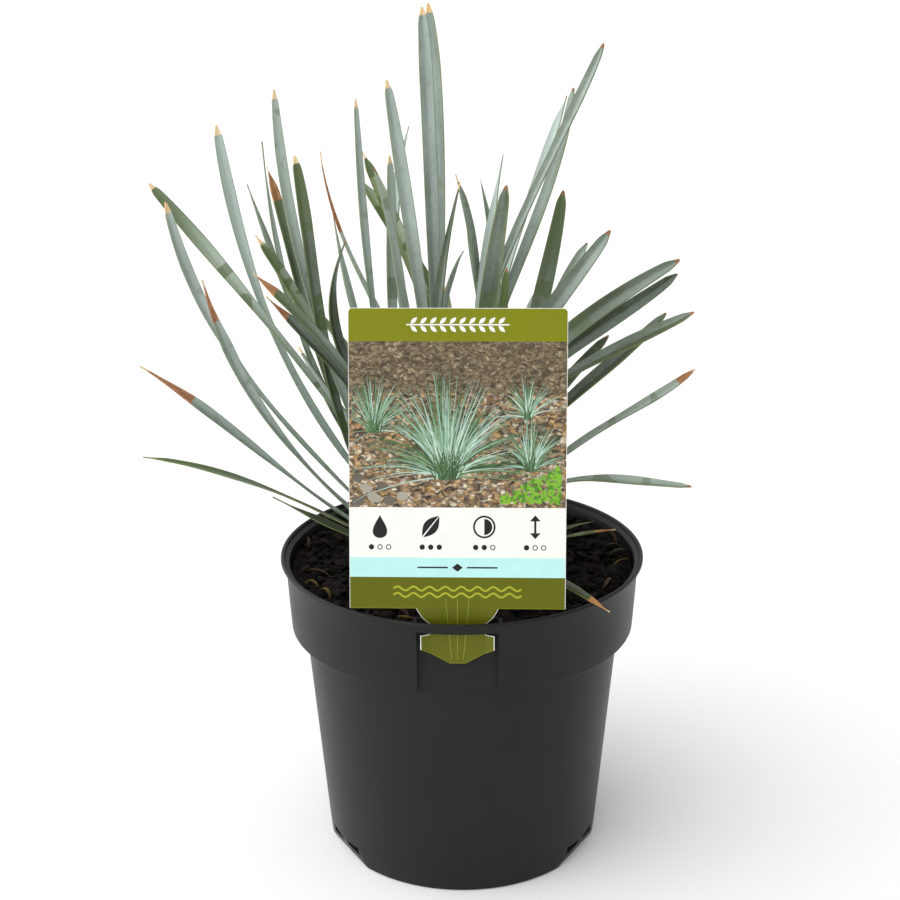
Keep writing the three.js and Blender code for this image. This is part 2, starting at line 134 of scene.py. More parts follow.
# Tip of the tongue that is printed to its edge: half width and top
TONGUE_TIP = (13.4, 119.0)
RIB_ENDS = (111.5, 136.4)
PRINT_COLOURS = {
    "white": "f4f4ee",
    "ink": "222421",
    "straw": "a9ab31",
    "rib": "848c30",
    "pebble_light": "a9a393",
    "pebble_dark": "6d675c",
    "lime": "7fb53a",
    "lime_dark": "4f8a2c",
    "root": "3d5638",
    "deep": "587a50",
    "mid": "7fa17c",
    "frost": "96b8a6",
    "pale": "bfd8c8",
}
GROUND_COLOURS = ("32281f", "6e5a44", "94785a", "c2a070", "554434", "ddd0b4", "857b6c", "b98b45")
FAR_COLOURS = ("46392b", "6f5f45", "8b7c60", "5d5236", "a8977a")
# Tones to draw from, for the blades at the back of a tuft and then further forward
TUFT_TONES = (("root", "deep"), ("root", "deep", "mid"), ("deep", "mid", "frost"), ("mid", "frost", "pale"))
# Printed tufts: foot across and up, reach, and number of blades
TUFTS = (((26, 203), 15, 80), ((-31, 198), 20, 110), ((-4, 181), 36, 260), ((27, 184), 19, 100))
# Printed pebbles: across, and up from the picture's lower edge
PEBBLES = ((-37, 0), (-31, 1.2), (-25.5, 0.2), (-34, 4.6), (-28, 5.4), (-20.5, 1.8), (-37.2, 8.6))

# Sheaths and leaves
SHEATH_RADIUS = 4.8
SHEATH_HEIGHT = 24.0
SHEATH_FLATTEN = 0.82
ROOT_OFFSET = 2.5
ROOT_RISE = 5.0
# Length over which a blade narrows to its tip, what each millimetre of width over 5 adds, and the power
TAPER = (22.0, 10.0, 0.28)
# Share of the width that is left at the very tip, and the length over which it is lost
TIP = (0.45, 4.5)
# How much a far leaning leaf narrows where it turns edge-on, how far from the tip, and over what length
WAIST = (0.4, 76.0, 34.0)
# Share of its length at which a leaf starts to turn to its own facing, and the share that the turn takes
TURN = (0.3, 0.5)
LEAF_SEED = 20251

# Shoots, and the leaves that the photo shows. A leaf is tip x, tip y, tip z, bow, sway, curl, width,
# face, dried, tone, olive and thread. Bow lifts its middle, sway moves it sideways, curl makes an S,
# and face is the azimuth that its flat side looks at. Dried is the brown length at its tip, tone runs
# from pale 0 to dark 1, olive from 0 to 1 takes the blue bloom off, and thread is the length over
# which it thins to a thread. More leaves by rule: how many, azimuths, reaches and heights.
SHOOTS = {
    "shoot_front_left": {
        "at": (-13, -9),
        "leaves": [
            (-124, -30, 179, 6, 0, -1, 3, -30, 1.2, 0.68, 0.6, 10),
            (-73, -40, 166, 0, 5, 0, 3.3, -35, 0.8, 1.02, 0.3, 30),
            (-95, -44, 253, -13, 2, 1, 5.4, -50, 16, 0.32, 0.1, 30),
            (-75, -52, 257, 12, 5, 0, 4.4, -45, 11, 0.62, 0.4, 12),
            (-72, -42, 246, 12, 1, 1, 4.2, -45, 12, 0.9, 0.2, 14),
            (-43, -30, 264, -2, -5, 10, 5, -50, 1, 0.93, 0, 34),
        ],
        "more": (2, (212, 238), (22, 40), (67, 107)),
    },
    "shoot_left": {
        "at": (-17, 3),
        "leaves": [
            (-112, -14, 276, -13, 2, 2, 5.2, -50, 4, 0.14, 0.05, 0),
            (-127, -10, 210, -2, 1, -2, 5, -40, 25, 0.3, 0.1, 34),
            (-81, 6, 259, 4, -1, -1, 5, -50, 4.5, 0.35, 0.95, 8),
            (-70, -6, 317, -10, 8, 1, 4.6, -50, 3.5, -0.1, 0.2, 0),
            (-62, -18, 294, -12, -2, -3, 5.2, -55, 3, 0.74, 0.6, 0),
            (-40, 3, 312, -4, 3, 0, 3.9, -40, 3, 0.25, 0.1, 0),
        ],
        "more": (1, (176, 186), (40, 60), (57, 97)),
    },
    "shoot_back_left": {
        "at": (-12, 15),
        "leaves": [
            (-123, 14, 278, 5, 5, 0, 5.8, -70, 2.6, -0.1, 0.45, 0),
            (-97, 26, 299, -17, 6, -1, 5.4, -65, 4, -0.28, 0.05, 0),
            (-88, 44, 272, -10, 2, -2, 4.4, -25, 1, 0.4, 0.25, 34),
            (-80, 34, 291, -19, -2, -1, 4, -25, 1, 0.13, 0.25, 60),
            (-77, 22, 283, -12, -1, -3, 4.6, -60, 14, 0.76, 0.42, 10),
            (-54, 52, 262, -5, 0, 1, 4, -40, 1.5, 0.1, 0.1, 46),
        ],
        "more": (4, (108, 136), (46, 84), (57, 97)),
    },
    "shoot_front": {
        "at": (0, -13),
        "leaves": [
            (-27, -20, 322, 1, 1, 0, 5.4, -65, 3, 0.22, 0.1, 0),
            (0, -24, 285, 6, -10, -1, 5.2, -130, 3, 0.8, 0.3, 50),
            (17, -26, 284, 4, 1, 0, 6.9, -95, 1.6, 0.7, 0.3, 0),
            (17, -36, 255, 2, 5, 0, 5, -130, 1.6, 0.87, 0.7, 0),
            (1, -16, 257, 4, -7, -10, 3.6, -40, 0.6, 0.1, 0.1, 14),
        ],
        "more": (3, (250, 290), (12, 24), (57, 99)),
    },
    "shoot_centre": {
        "at": (-2, 1),
        "leaves": [
            (-28, 18, 288, -13, 1, -3, 4.8, -50, 3, 0.1, 0.3, 0),
            (-34, 8, 285, 0, 6, -3, 4.6, -35, 2, 0, 0.25, 10),
            (-14, -8, 347, 0, -2, -1, 5.2, -85, 3, 0.42, 0, 0),
            (-12, 8, 347, -1, 0, -3, 4.4, -100, 3.5, 0.33, 0.1, 0),
        ],
    },
    "shoot_back": {
        "at": (1, 16),
        "leaves": [
            (-57, 40, 286, 6, 4, 6, 4.6, -50, 34, 0.1, 0.2, 105),
            (-40, 40, 286, 14, -1, 2, 5.4, -70, 3, -0.35, 0.95, 8),
            (-41, 44, 274, 16, -14, 4, 5.2, -75, 2, -0.1, 0.95, 8),
            (-21, 48, 295, 4, 14, 7, 4.4, -130, 2, -0.16, 0.1, 26),
        ],
        "more": (5, (72, 106), (55, 105), (47, 127)),
    },
    "shoot_back_right": {
        "at": (13, 13),
        "leaves": [
            (-2, 20, 280, 3, -1, -3, 4, -40, 3, 0.44, 0.3, 10),
            (8, 26, 277, 6, -4, -2, 4.4, -35, 1.2, 0.56, 0.15, 26),
            (2, 38, 264, 8, -1, 3, 2.6, -30, 1, 0.05, 0.1, 20),
            (17, 22, 288, 12, 5, 3, 4.6, -130, 0.8, -0.35, 0, 34),
            (43, 40, 308, 14, 8, 4, 4.2, -140, 1, 0.12, 0, 12),
            (52, 34, 249, 8, -2, -2, 5, -110, 0.6, 0.36, 0.3, 0),
            (62, 36, 209, 11, 1, 1, 5, -115, 1.2, 1.15, 0.15, 0),
            (35, 30, 237, 16, 2, 3, 3.6, -150, 1, -0.35, 0.1, 12),
        ],
        "more": (4, (54, 80), (38, 62), (50, 92)),
    },
    "shoot_right": {
        "at": (17, 1),
        "leaves": [
            (52, -24, 335, 26, -5, 6, 4.3, -135, 1.8, 0.5, 0.1, 0),
            (43, 2, 316, 18, -3, 7, 4.8, -130, 1.2, 0.52, 0.1, 0),
            (40, 6, 276, 6, -3, 2, 6.6, -95, 1.8, 0.68, 0.5, 0),
            (85, -6, 251, 31, -7, 3, 7.4, -100, 1.8, 0.7, 0.3, 0),
            (85, 0, 244, 28, 4, 6, 6.6, -105, 0.5, 0.87, 0.05, 0),
            (95, 10, 202, 15, -5, 4, 4.2, -130, 9, 0.15, 0.3, 0),
            (57, 31, 127, 2, 0, 0, 2, -140, 0, 1, 0.9, 8),
        ],
    },
    "shoot_front_right": {
        "at": (13, -11),
        "leaves": [
            (55, -36, 269, 21, -4, 4, 6.6, -95, 1.9, 0.59, 0.1, 0),
            (86, -44, 240, 29, -2, 5, 5.4, -125, 1.8, 0.9, 0.3, 0),
            (78, -26, 235, 16, 0, 4, 5.4, -125, 0.5, 0.9, 0, 0),
            (90, -30, 166, 21, 2, 4, 4.3, -150, 1.6, 0.32, 0.3, 0),
            (56, -64, 128, 7, -3, 0, 2.9, -150, 9.5, 0.98, 0.9, 9),
            (66, 24, 126, 2, 3, 0, 1.9, -143, 10, 0.4, 1, 6),
        ],
        "more": (2, (300, 322), (14, 28), (57, 97)),
    },
}

# Camera, fitted to the photo's view: metres and degrees
CAMERA_AT = (0.0, -0.650, 0.399)
CAMERA_PITCH = math.radians(19.33)
CAMERA_YAW = math.radians(-0.41)
CAMERA_ROLL = math.radians(-0.33)
CAMERA_LENS = 67.64


def paint(code):
    """Linear colour from a six-digit sRGB code."""
    shares = [int(code[i : i + 2], 16) / 255 for i in (0, 2, 4)]
    return tuple(s / 12.92 if s <= 0.04045 else ((s + 0.055) / 1.055) ** 2.4 for s in shares)


class PotSettings(bpy.types.PropertyGroup):
    """Sizes and colour of the nursery pot."""

    rim_radius: FloatProperty(
        name="Rim radius", description="Outside radius of the rim", default=POT_HIGH.x, unit="LENGTH"
    )
    height: FloatProperty(name="Height", description="Height of the pot", default=POT_HIGH.z, unit="LENGTH")
    wall: FloatProperty(name="Wall", description="Thickness of the wall", default=1.5 * MM, unit="LENGTH")
    plastic: FloatVectorProperty(
        name="Plastic", description="Colour of the plastic", default=paint("1a1918"), subtype="COLOR"
    )


class MixSettings(bpy.types.PropertyGroup):
    """The potting mix."""

    lumps: IntProperty(name="Lumps", description="Large lumps on the surface", default=120, min=0)
    chips: IntProperty(name="Chips", description="Bark chips on the surface", default=560, min=0)
    crumbs: IntProperty(name="Crumbs", description="Small crumbs on the surface", default=800, min=0)
    damp: FloatVectorProperty(
        name="Damp mix", description="Colour of the damp mix", default=paint("14110f"), subtype="COLOR"
    )


class LabelSettings(bpy.types.PropertyGroup):
    """Size and printed colours of the plant label."""

    width: FloatProperty(name="Width", description="Width of the card", default=81 * MM, unit="LENGTH")
    thickness: FloatProperty(
        name="Thickness", description="Thickness of the card", default=0.5 * MM, unit="LENGTH"
    )
    band: FloatVectorProperty(
        name="Band", description="Olive end bands", default=paint("7f8410"), subtype="COLOR"
    )
    strip: FloatVectorProperty(
        name="Strip", description="Pale blue strip", default=paint("bdeeea"), subtype="COLOR"
    )


class LeafSettings(bpy.types.PropertyGroup):
    """Thickness and colours of the leaves."""

    thickness: FloatProperty(
        name="Thickness", description="Thickness of a blade", default=0.5 * MM, unit="LENGTH"
    )
    bloom: FloatVectorProperty(
        name="Bloom", description="Waxy bloom in full light", default=paint("b9c8c1"), subtype="COLOR"
    )
    shade: FloatVectorProperty(
        name="Shade", description="Darkest bloom", default=paint("39442f"), subtype="COLOR"
    )
    olive: FloatVectorProperty(
        name="Olive", description="Leaf without bloom", default=paint("6f7b3a"), subtype="COLOR"
    )
    dried: FloatVectorProperty(
        name="Dried", description="Dried leaf end", default=paint("ab7656"), subtype="COLOR"
    )


class StageSettings(bpy.types.PropertyGroup):
    """Floor and light."""

    floor_size: FloatProperty(name="Floor", description="Side of the floor", default=40.0, unit="LENGTH")
    sky: FloatProperty(name="Sky", description="Strength of the even light", default=0.75, min=0)
    side: FloatProperty(name="Side", description="Extra light from the left", default=2.8, min=0)
    key: FloatProperty(name="Key", description="Strength of the key light", default=1.1, min=0)


def settings(name):
    """The add-on's settings of this name, such as pot or label."""
    return getattr(bpy.context.scene, "lomandra_" + name)


def smooth(share):
    """Eases from 0 to 1."""
    share = max(0.0, min(1.0, share))
    return share * share * (3 - 2 * share)


# Modelling steps shared by the pieces
def nothing_chosen():
    """Leaves edit mode and deselects everything."""
    if bpy.context.object and bpy.context.object.mode != "OBJECT":
        bpy.ops.object.mode_set(mode="OBJECT")
    bpy.ops.object.select_all(action="DESELECT")


def only(piece):
    """Makes a piece the one selected and active object."""
    nothing_chosen()
    piece.select_set(True)
    bpy.context.view_layer.objects.active = piece


def modify(piece, kind, **values):
    """Adds a modifier with these values and applies it."""
    only(piece)
    modifier = piece.modifiers.new(kind.title(), kind)
    for name, value in values.items():
        setattr(modifier, name, value)
    bpy.ops.object.modifier_apply(modifier=modifier.name)


def cut(piece, tool, operation="DIFFERENCE"):
    """Joins, cuts or trims a piece by a tool, which is used up."""
    modify(piece, "BOOLEAN", object=tool, operation=operation, solver="MANIFOLD")
    bpy.data.objects.remove(tool)


def new_piece(operator, name, **values):
    """Adds a primitive by its operator, with nothing else selected."""
    nothing_chosen()
    operator(**values)
    piece = bpy.context.object
    piece.name = name
    return piece


def grid_blank(name, across, along):
    """A flat strip of so many faces across and along, to copy for every blade, strip or line."""
    grid = bpy.ops.mesh.primitive_grid_add
    return new_piece(grid, name, x_subdivisions=across, y_subdivisions=along, size=1)


def copy_of(blank, name):
    """A copy of a blank, with a mesh of its own."""
    piece = bpy.data.objects.new(name, blank.data.copy())
    bpy.context.scene.collection.objects.link(piece)
    return piece


def dress(piece, *finishes):
    """Gives a piece these materials and no others."""
    piece.data.materials.clear()
    for finish in finishes:
        piece.data.materials.append(finish)


def shade_smooth(piece, angle):
    """Shades a piece smooth except at edges sharper than an angle in degrees."""
    only(piece)
    bpy.ops.object.shade_smooth_by_angle(angle=math.radians(angle))


def box(low, high, turn=0.0):
    """A box between two corners in millimetres, turned about Z."""
    middle = [(a + b) / 2 * MM for a, b in zip(low, high)]
    piece = new_piece(bpy.ops.mesh.primitive_cube_add, "box", size=1, location=middle)
    piece.scale = [(b - a) * MM for a, b in zip(low, high)]
    bpy.ops.object.transform_apply(location=True, rotation=True, scale=True)
    piece.data.transform(Matrix.Rotation(turn, 4, "Z"))
    return piece


def turned(name, profile, steps):
    """Draws a profile of (radius, height) points in millimetres and spins it about Z."""
    piece = new_piece(bpy.ops.mesh.primitive_plane_add, name, size=MM)
    bpy.ops.object.mode_set(mode="EDIT")
    bpy.ops.mesh.merge(type="CENTER")
    radius, height = profile[0]
    bpy.ops.transform.translate(value=(radius * MM, 0, height * MM))
    for (r0, z0), (r1, z1) in zip(profile, profile[1:]):
        step = ((r1 - r0) * MM, 0, (z1 - z0) * MM)
        bpy.ops.mesh.extrude_region_move(TRANSFORM_OT_translate={"value": step})
    bpy.ops.mesh.select_all(action="SELECT")
    bpy.ops.mesh.spin(steps=steps, angle=2 * math.pi, center=(0, 0, 0), axis=(0, 0, 1))
    bpy.ops.mesh.select_all(action="SELECT")
    bpy.ops.mesh.remove_doubles(threshold=0.01 * MM)
    bpy.ops.mesh.normals_make_consistent(inside=False)
    bpy.ops.object.mode_set(mode="OBJECT")
    return piece


def polar(radius, turn, centre=(0, 0)):
    """Point at this distance from a centre, in a direction in radians."""
    return centre[0] + radius * math.cos(turn), centre[1] + radius * math.sin(turn)


def arc(centre, radius, start, end, count):
    """Points of a round stretch of a profile, from one angle to another in degrees."""
    angles = [math.radians(start + (end - start) * i / count) for i in range(count + 1)]
    return [polar(radius, angle, centre) for angle in angles]


def eased(start, end, count=8):
    """Points of a profile that swells smoothly from start to end."""
    (r0, z0), (r1, z1) = start, end
    shares = [i / count for i in range(count + 1)]
    return [(r0 + (r1 - r0) * smooth(share), z0 + (z1 - z0) * share) for share in shares]


def join(pieces, name):
    """Joins pieces into the first of them."""
    only(pieces[0])
    for piece in pieces:
        piece.select_set(True)
    bpy.ops.object.join()
    joined = bpy.context.object
    joined.name = name
    return joined


def finished(piece, node):
    """Puts a finished piece in the place of a CAD node."""
    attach(piece, "root")
    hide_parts(node)


# Node materials
class Value:
    """A number, colour or place that a node gives. Arithmetic with it adds Math nodes."""

    def __init__(self, socket):
        self.socket, self.tree = socket, socket.id_data

    def maths(self, operation, *others):
        """Adds a Math node that works on this value and the others."""
        inputs = dict(enumerate((self, *others)))
        return add(self.tree, "Math", inputs, operation=operation)

    def __add__(self, other):
        return self.maths("ADD", other)

    def __sub__(self, other):
        return self.maths("SUBTRACT", other)

    def __mul__(self, other):
        return self.maths("MULTIPLY", other)

    def at_least(self, other):
        """The larger of the two."""
        return self.maths("MAXIMUM", other)

    def at_most(self, other):
        """The smaller of the two."""
        return self.maths("MINIMUM", other)


def add(tree, kind, inputs=None, output=0, **values):
    """Adds a shader node and returns its output; an input is a Value to link or a plain one to set."""
    node = tree.nodes.new("ShaderNode" + kind)
    for name, value in values.items():
        setattr(node, name, value)
    for key, value in (inputs or {}).items():
        feed(node, key, value)
    return Value(node.outputs[output])


def feed(node, key, value):
    """Links or sets one input of a node."""
    socket = node.inputs[key]
    if isinstance(value, Value):
        value.tree.links.new(value.socket, socket)
    else:
        socket.default_value = (*value, 1) if socket.type == "RGBA" else value


def new_finish(name, roughness=0.5, specular=0.5):
    """A new material, its node tree and its shader."""
    material = bpy.data.materials.new(name)
    material.use_nodes = True
    shader = material.node_tree.nodes["Principled BSDF"]
    feed(shader, "Roughness", roughness)
    feed(shader, "Specular IOR Level", specular)
    return material, material.node_tree, shader


def mixed(factor, first, second, blend="MIX"):
    """First colour where factor is 0, second where it is 1."""
    inputs = {0: factor, 6: first, 7: second}
    return add(factor.tree, "Mix", inputs, 2, data_type="RGBA", blend_type=blend)


def between(value, low, high):
    """0 below low, 1 above high, smooth in between."""
    inputs = {"Value": value, "From Min": low, "From Max": high}
    return add(value.tree, "MapRange", inputs, interpolation_type="SMOOTHSTEP")


def speckle(vector, scale, detail=2.0, roughness=0.5):
    """Noise from 0 to 1."""
    inputs = {"Vector": vector, "Scale": scale, "Detail": detail, "Roughness": roughness}
    return add(vector.tree, "TexNoise", inputs)


def place(tree):
    """Where a point of the surface lies, in the frame's metres."""
    return add(tree, "TexCoord", output="Object")


def bump(shader, height, strength, distance):
    """Raises the surface by a height from 0 to 1 over a distance in metres."""
    inputs = {"Height": height, "Strength": strength, "Distance": distance}
    feed(shader, "Normal", add(height.tree, "Bump", inputs))


def satin_plastic(name, colour):
    """Satin black moulded plastic with faint flow marks, dust and a few scuffs."""
    material, tree, shader = new_finish(name, 0.42, 0.17)
    at = place(tree)
    cloud = speckle(at, 22, 4)
    dust = between(speckle(at, 260, 6, 0.75), 0.66, 0.8)
    stretched = add(tree, "Mapping", {"Vector": at, "Scale": (240, 240, 26)})
    scuffs = between(speckle(stretched, 1, 3, 0.7), 0.7, 0.78)
    lighter = tuple(min(1, c * 1.7 + 0.008) for c in colour)
    dusty = paint("6f6a62")
    marked = mixed(scuffs * 0.12, mixed(cloud * 0.45, colour, lighter), dusty)
    feed(shader, "Base Color", mixed(dust * 0.16, marked, dusty))
    feed(shader, "Roughness", cloud * 0.16 + 0.34 + scuffs * 0.14)
    bump(shader, speckle(at, 900, 2), 0.12, 0.1 * MM)
    return material


def bark_mix(name, colours, rough=0.88):
    """Damp crumbly bark in patches of a few browns."""
    material, tree, shader = new_finish(name, rough, 0.12)
    at = place(tree)
    cells = add(tree, "TexVoronoi", {"Vector": at, "Scale": 420}, "Color")
    tone = add(tree, "SeparateColor", {0: cells}) * 0.9
    fibres = speckle(at, 1400, 3, 0.65)
    patches = between(speckle(at, 70, 3), 0.56, 0.72) * 0.6
    shade = mixed(patches, mixed(tone, colours[0], colours[1]), colours[2])
    feed(shader, "Base Color", mixed(fibres, shade, colours[0], "SOFT_LIGHT"))
    bump(shader, fibres + speckle(at, 480, 3, 0.7), 0.8, 0.6 * MM)
    return material


# Pot
def body_radius(z):
    """Outside radius of the tapered body at a height."""
    return BODY_RADIUS_BOTTOM + (BODY_RADIUS_TOP - BODY_RADIUS_BOTTOM) * z / COLLAR_BOTTOM


def pot_outline(rim, height):
    """Outer profile from the base's middle up to the crest of the rim's bead."""
    inner, outer, depth = GROOVE
    bead = (rim - RIM_INNER_RADIUS) / 2
    low, high = (height - drop for drop in RIM_SWELL)
    return [
        (0, 0),
        (inner, 0),
        (inner + depth, depth),
        (outer - depth, depth),
        (outer, 0),
        *arc((BODY_RADIUS_BOTTOM - FOOT_ROUND, FOOT_ROUND), FOOT_ROUND, 270, 350, 5),
        *[(body_radius(z), z) for z in BODY_RINGS],
        *arc((BODY_RADIUS_TOP + SHELF_ROUND, COLLAR_BOTTOM - SHELF_ROUND), SHELF_ROUND, 180, 90, 3),
        *arc((COLLAR_RADIUS_BOTTOM - COLLAR_ROUND, COLLAR_BOTTOM + COLLAR_ROUND), COLLAR_ROUND, 270, 365, 5),
        (COLLAR_RADIUS_BOTTOM + COLLAR_SWELL[0], COLLAR_BOTTOM + COLLAR_SWELL[1]),
        *eased((COLLAR_RADIUS_TOP, low), (rim, high)),
        *arc((rim - bead, height - bead), bead, 0, 90, 6),
    ]


def pot_inside(height, wall):
    """Inner profile from the rim down to the middle of the floor."""
    bead = (POT_HIGH.x / MM - RIM_INNER_RADIUS) / 2
    low, high = (height - drop for drop in RIM_SWELL)
    return [
        *arc((RIM_INNER_RADIUS + bead, height - bead), bead, 100, 180, 5),
        *eased((RIM_INNER_RADIUS, high), (COLLAR_RADIUS_TOP - wall, low)),
        (COLLAR_RADIUS_BOTTOM - wall, COLLAR_BOTTOM + wall),
        (BODY_RADIUS_TOP - wall, COLLAR_BOTTOM + wall),
        (body_radius(BASE_PLATE) - wall, BASE_PLATE),
        (0, BASE_PLATE),
    ]


def trim_to_pot(piece, rim, height):
    """Trims a piece to what lies inside the pot's outer surface."""
    outline = [*pot_outline(rim, height), (0, height)]
    cut(piece, turned("pot_outside", outline, POT_STEPS), "INTERSECT")


def cut_bay(pot, rim, height, wall):
    """Cuts the label bay out of the collar and walls it in."""
    half = BAY_WIDTH / 2
    wide = half + wall
    under = height - RIM_BAND
    throat = COLLAR_RADIUS_TOP - wall
    cut(pot, box((-half, -rim - PAST, COLLAR_BOTTOM - 0.9), (half, BAY_PANEL_Y, under), BAY_TURN))
    slot = box((-half, -rim, under - PAST), (half, BAY_PANEL_Y, height + PAST), BAY_TURN)
    low, high = under - PAST - 1, height + PAST + 1
    bore = turned("rim_bore", [(0, low), (throat, low), (throat, high), (0, high)], POT_STEPS)
    cut(slot, bore, "INTERSECT")
    cut(pot, slot)
    walls = box((-wide, -rim, COLLAR_BOTTOM), (wide, BAY_PANEL_Y + wall, height - 0.6), BAY_TURN)
    cut(walls, box((-half, -rim - PAST, COLLAR_BOTTOM - 1), (half, BAY_PANEL_Y, height + 1), BAY_TURN))
    trim_to_pot(walls, rim, height)
    cut(pot, walls, "UNION")


def cut_notch(pot, azimuth, rim, height, wall):
    """Flattens one drain notch at the foot, closes it with a flat wall and cuts its slots."""
    chord = body_radius(0) * math.cos(NOTCH_HALF_ANGLE)
    slope = math.atan2(body_radius(NOTCH_HEIGHT) - chord, NOTCH_HEIGHT)
    side = body_radius(0) * math.sin(NOTCH_HALF_ANGLE) + PAST
    tall = NOTCH_HEIGHT / math.cos(slope)
    seat = (
        Matrix.Rotation(math.radians(azimuth), 4, "Z")
        @ Matrix.Translation((chord * MM, 0, 0))
        @ Matrix.Rotation(slope, 4, "Y")
    )
    off = box((0, -side, -PAST), (4 * PAST, side, tall + 2 * PAST))
    face = box((-wall, -side, -PAST), (0, side, tall))
    for piece in (off, face):
        piece.data.transform(seat)
    cut(pot, off)
    trim_to_pot(face, rim, height)
    cut(pot, face, "UNION")
    apart, long, low, high = NOTCH_SLOTS
    for middle in (-apart / 2, apart / 2):
        slot = box((-PAST, middle - long / 2, low), (PAST, middle + long / 2, high))
        slot.data.transform(seat)
        cut(pot, slot)


def cut_drain_holes(pot):
    """Cuts the ring of round holes in the base."""
    count, distance, radius = DRAIN_HOLES
    size = {"vertices": 32, "radius": radius * MM, "depth": 2 * PAST * MM}
    for i in range(count):
        at = (*polar(distance * MM, math.radians(360 * (i + 0.5) / count)), 0)
        hole = new_piece(bpy.ops.mesh.primitive_cylinder_add, "drain_hole", location=at, **size)
        bpy.ops.object.transform_apply(location=True)
        cut(pot, hole)


class LOMANDRA_OT_pot(bpy.types.Operator):
    """Model the black nursery pot with its label bay, drain notches and drain holes"""

    bl_idname = "lomandra.pot"
    bl_label = "Pot"

    def execute(self, context):
        own = settings("pot")
        rim, height, wall = own.rim_radius / MM, own.height / MM, own.wall / MM
        pot = turned("nursery_pot", [*pot_outline(rim, height), *pot_inside(height, wall)], POT_STEPS)
        cut_bay(pot, rim, height, wall)
        for azimuth in NOTCH_AZIMUTHS:
            cut_notch(pot, azimuth, rim, height, wall)
        cut_drain_holes(pot)
        sharp = math.radians(42)
        modify(pot, "BEVEL", width=SOFT_EDGE * MM, segments=2, limit_method="ANGLE", angle_limit=sharp)
        shade_smooth(pot, 30)
        # Painted shade: the inward-facing walls of the pot, above the base, get the same plastic at 0.35 of
        # its colour so they look unlit
        damp = tuple(0.35 * c for c in own.plastic)
        dress(pot, satin_plastic("pot_plastic", own.plastic), satin_plastic("painted_shade_inside", damp))
        for face in pot.data.polygons:
            inward = -face.center.xy.normalized().dot(face.normal.xy)
            face.material_index = int(inward > 0.6 and BASE_PLATE < face.center.z / MM < height - 0.4)
        finished(pot, "pot")
        return {"FINISHED"}


# Potting mix
def soil_height(x, y):
    """Surface of the potting mix at a place in millimetres, as in the frame but banked at the wall."""
    mound = MOUND[0] * math.exp(-((math.hypot(x, y) / MOUND[1]) ** 2))
    rows = math.sin(x * 0.43 + 1.7 * math.sin(y * 0.31))
    chips = 0.9 * rows * math.cos(y * 0.52 + 1.3 * math.sin(x * 0.23))
    crumbs = 0.55 * math.sin(x * 1.07 + 0.9) * math.sin(y * 0.93 + 2.1)
    bank = EDGE_BANK[0] * smooth((math.hypot(x, y) - EDGE_BANK[1]) / EDGE_BANK[2])
    return SOIL_LEVEL + mound + chips + crumbs + bank


def soil_body():
    """The filled body of the mix with a rough crumbled top."""
    rim, height = POT_HIGH.x / MM, POT_HIGH.z / MM
    foot = body_radius(0) * math.cos(NOTCH_HALF_ANGLE) - 2.5
    flare = (COLLAR_RADIUS_TOP - COLLAR_RADIUS_BOTTOM) / (height - COLLAR_BOTTOM)
    edge = COLLAR_RADIUS_BOTTOM - MIX_GAP + flare * (SOIL_LEVEL - COLLAR_BOTTOM)
    ledge = COLLAR_BOTTOM + MIX_GAP
    above_notch = NOTCH_HEIGHT + 4.4
    profile = [
        (0, MIX_FLOOR),
        (foot, MIX_FLOOR),
        (body_radius(above_notch) - MIX_GAP, above_notch),
        (body_radius(ledge) - MIX_GAP, ledge),
        (COLLAR_RADIUS_BOTTOM - MIX_GAP, ledge),
        *[(edge * (1 - i / MIX_RINGS), SOIL_LEVEL) for i in range(MIX_RINGS + 1)],
    ]
    soil = turned("bark_mix", profile, SOIL_STEPS)
    half = BAY_WIDTH / 2 + MIX_GAP
    low, high = (-half, -rim - PAST, COLLAR_BOTTOM - PAST), (half, BAY_PANEL_Y + MIX_GAP, height + PAST)
    cut(soil, box(low, high, BAY_TURN))
    for vertex in soil.data.vertices:
        x, y, z = vertex.co / MM
        if z > SOIL_LEVEL - 0.5:
            lumps = noise.noise(Vector((x, y, 3)) * 0.35) * 1.6 + noise.noise(Vector((x, y, 7)) * 1.1) * 1.1
            vertex.co.z = (soil_height(x, y) + lumps - 0.4) * MM
    return soil


def lump(name, size, seed, levels=2):
    """One rough lump to copy: a rounded block pushed in and out."""
    piece = new_piece(bpy.ops.mesh.primitive_ico_sphere_add, name, subdivisions=levels, radius=0.5)
    bpy.ops.object.mode_set(mode="EDIT")
    bpy.ops.transform.vertex_random(offset=0.11 if levels == 2 else 0.065, seed=seed)
    bpy.ops.transform.resize(value=size)
    bpy.ops.object.mode_set(mode="OBJECT")
    return piece


def scatter(blanks, count, sizes, draw, reach, lift):
    """Copies of the blanks, laid by chance on the mix and clear of the label's bay."""
    copies = []
    for _ in range(count):
        blank = draw.choice(blanks)
        size = draw.uniform(*sizes)
        r = (reach - size / 2) * draw.random() ** 0.42
        x, y = polar(r, draw.uniform(0, 2 * math.pi))
        if y < BAY_PANEL_Y + 4 + size / 2 and abs(x) < BAY_WIDTH / 2 + 4:
            continue
        spin = Matrix.Rotation(draw.uniform(0, 6.3), 4, "Z")
        tip = Matrix.Rotation(draw.gauss(0, 0.3), 4, "X") @ Matrix.Rotation(draw.gauss(0, 0.3), 4, "Y")
        z = soil_height(x, y) + draw.uniform(*lift)
        copy = copy_of(blank, "lump")
        seat = Matrix.Translation(Vector((x, y, z)) * MM) @ spin @ tip @ Matrix.Scale(size * MM, 4)
        copy.data.transform(seat)
        copies.append(copy)
    return copies


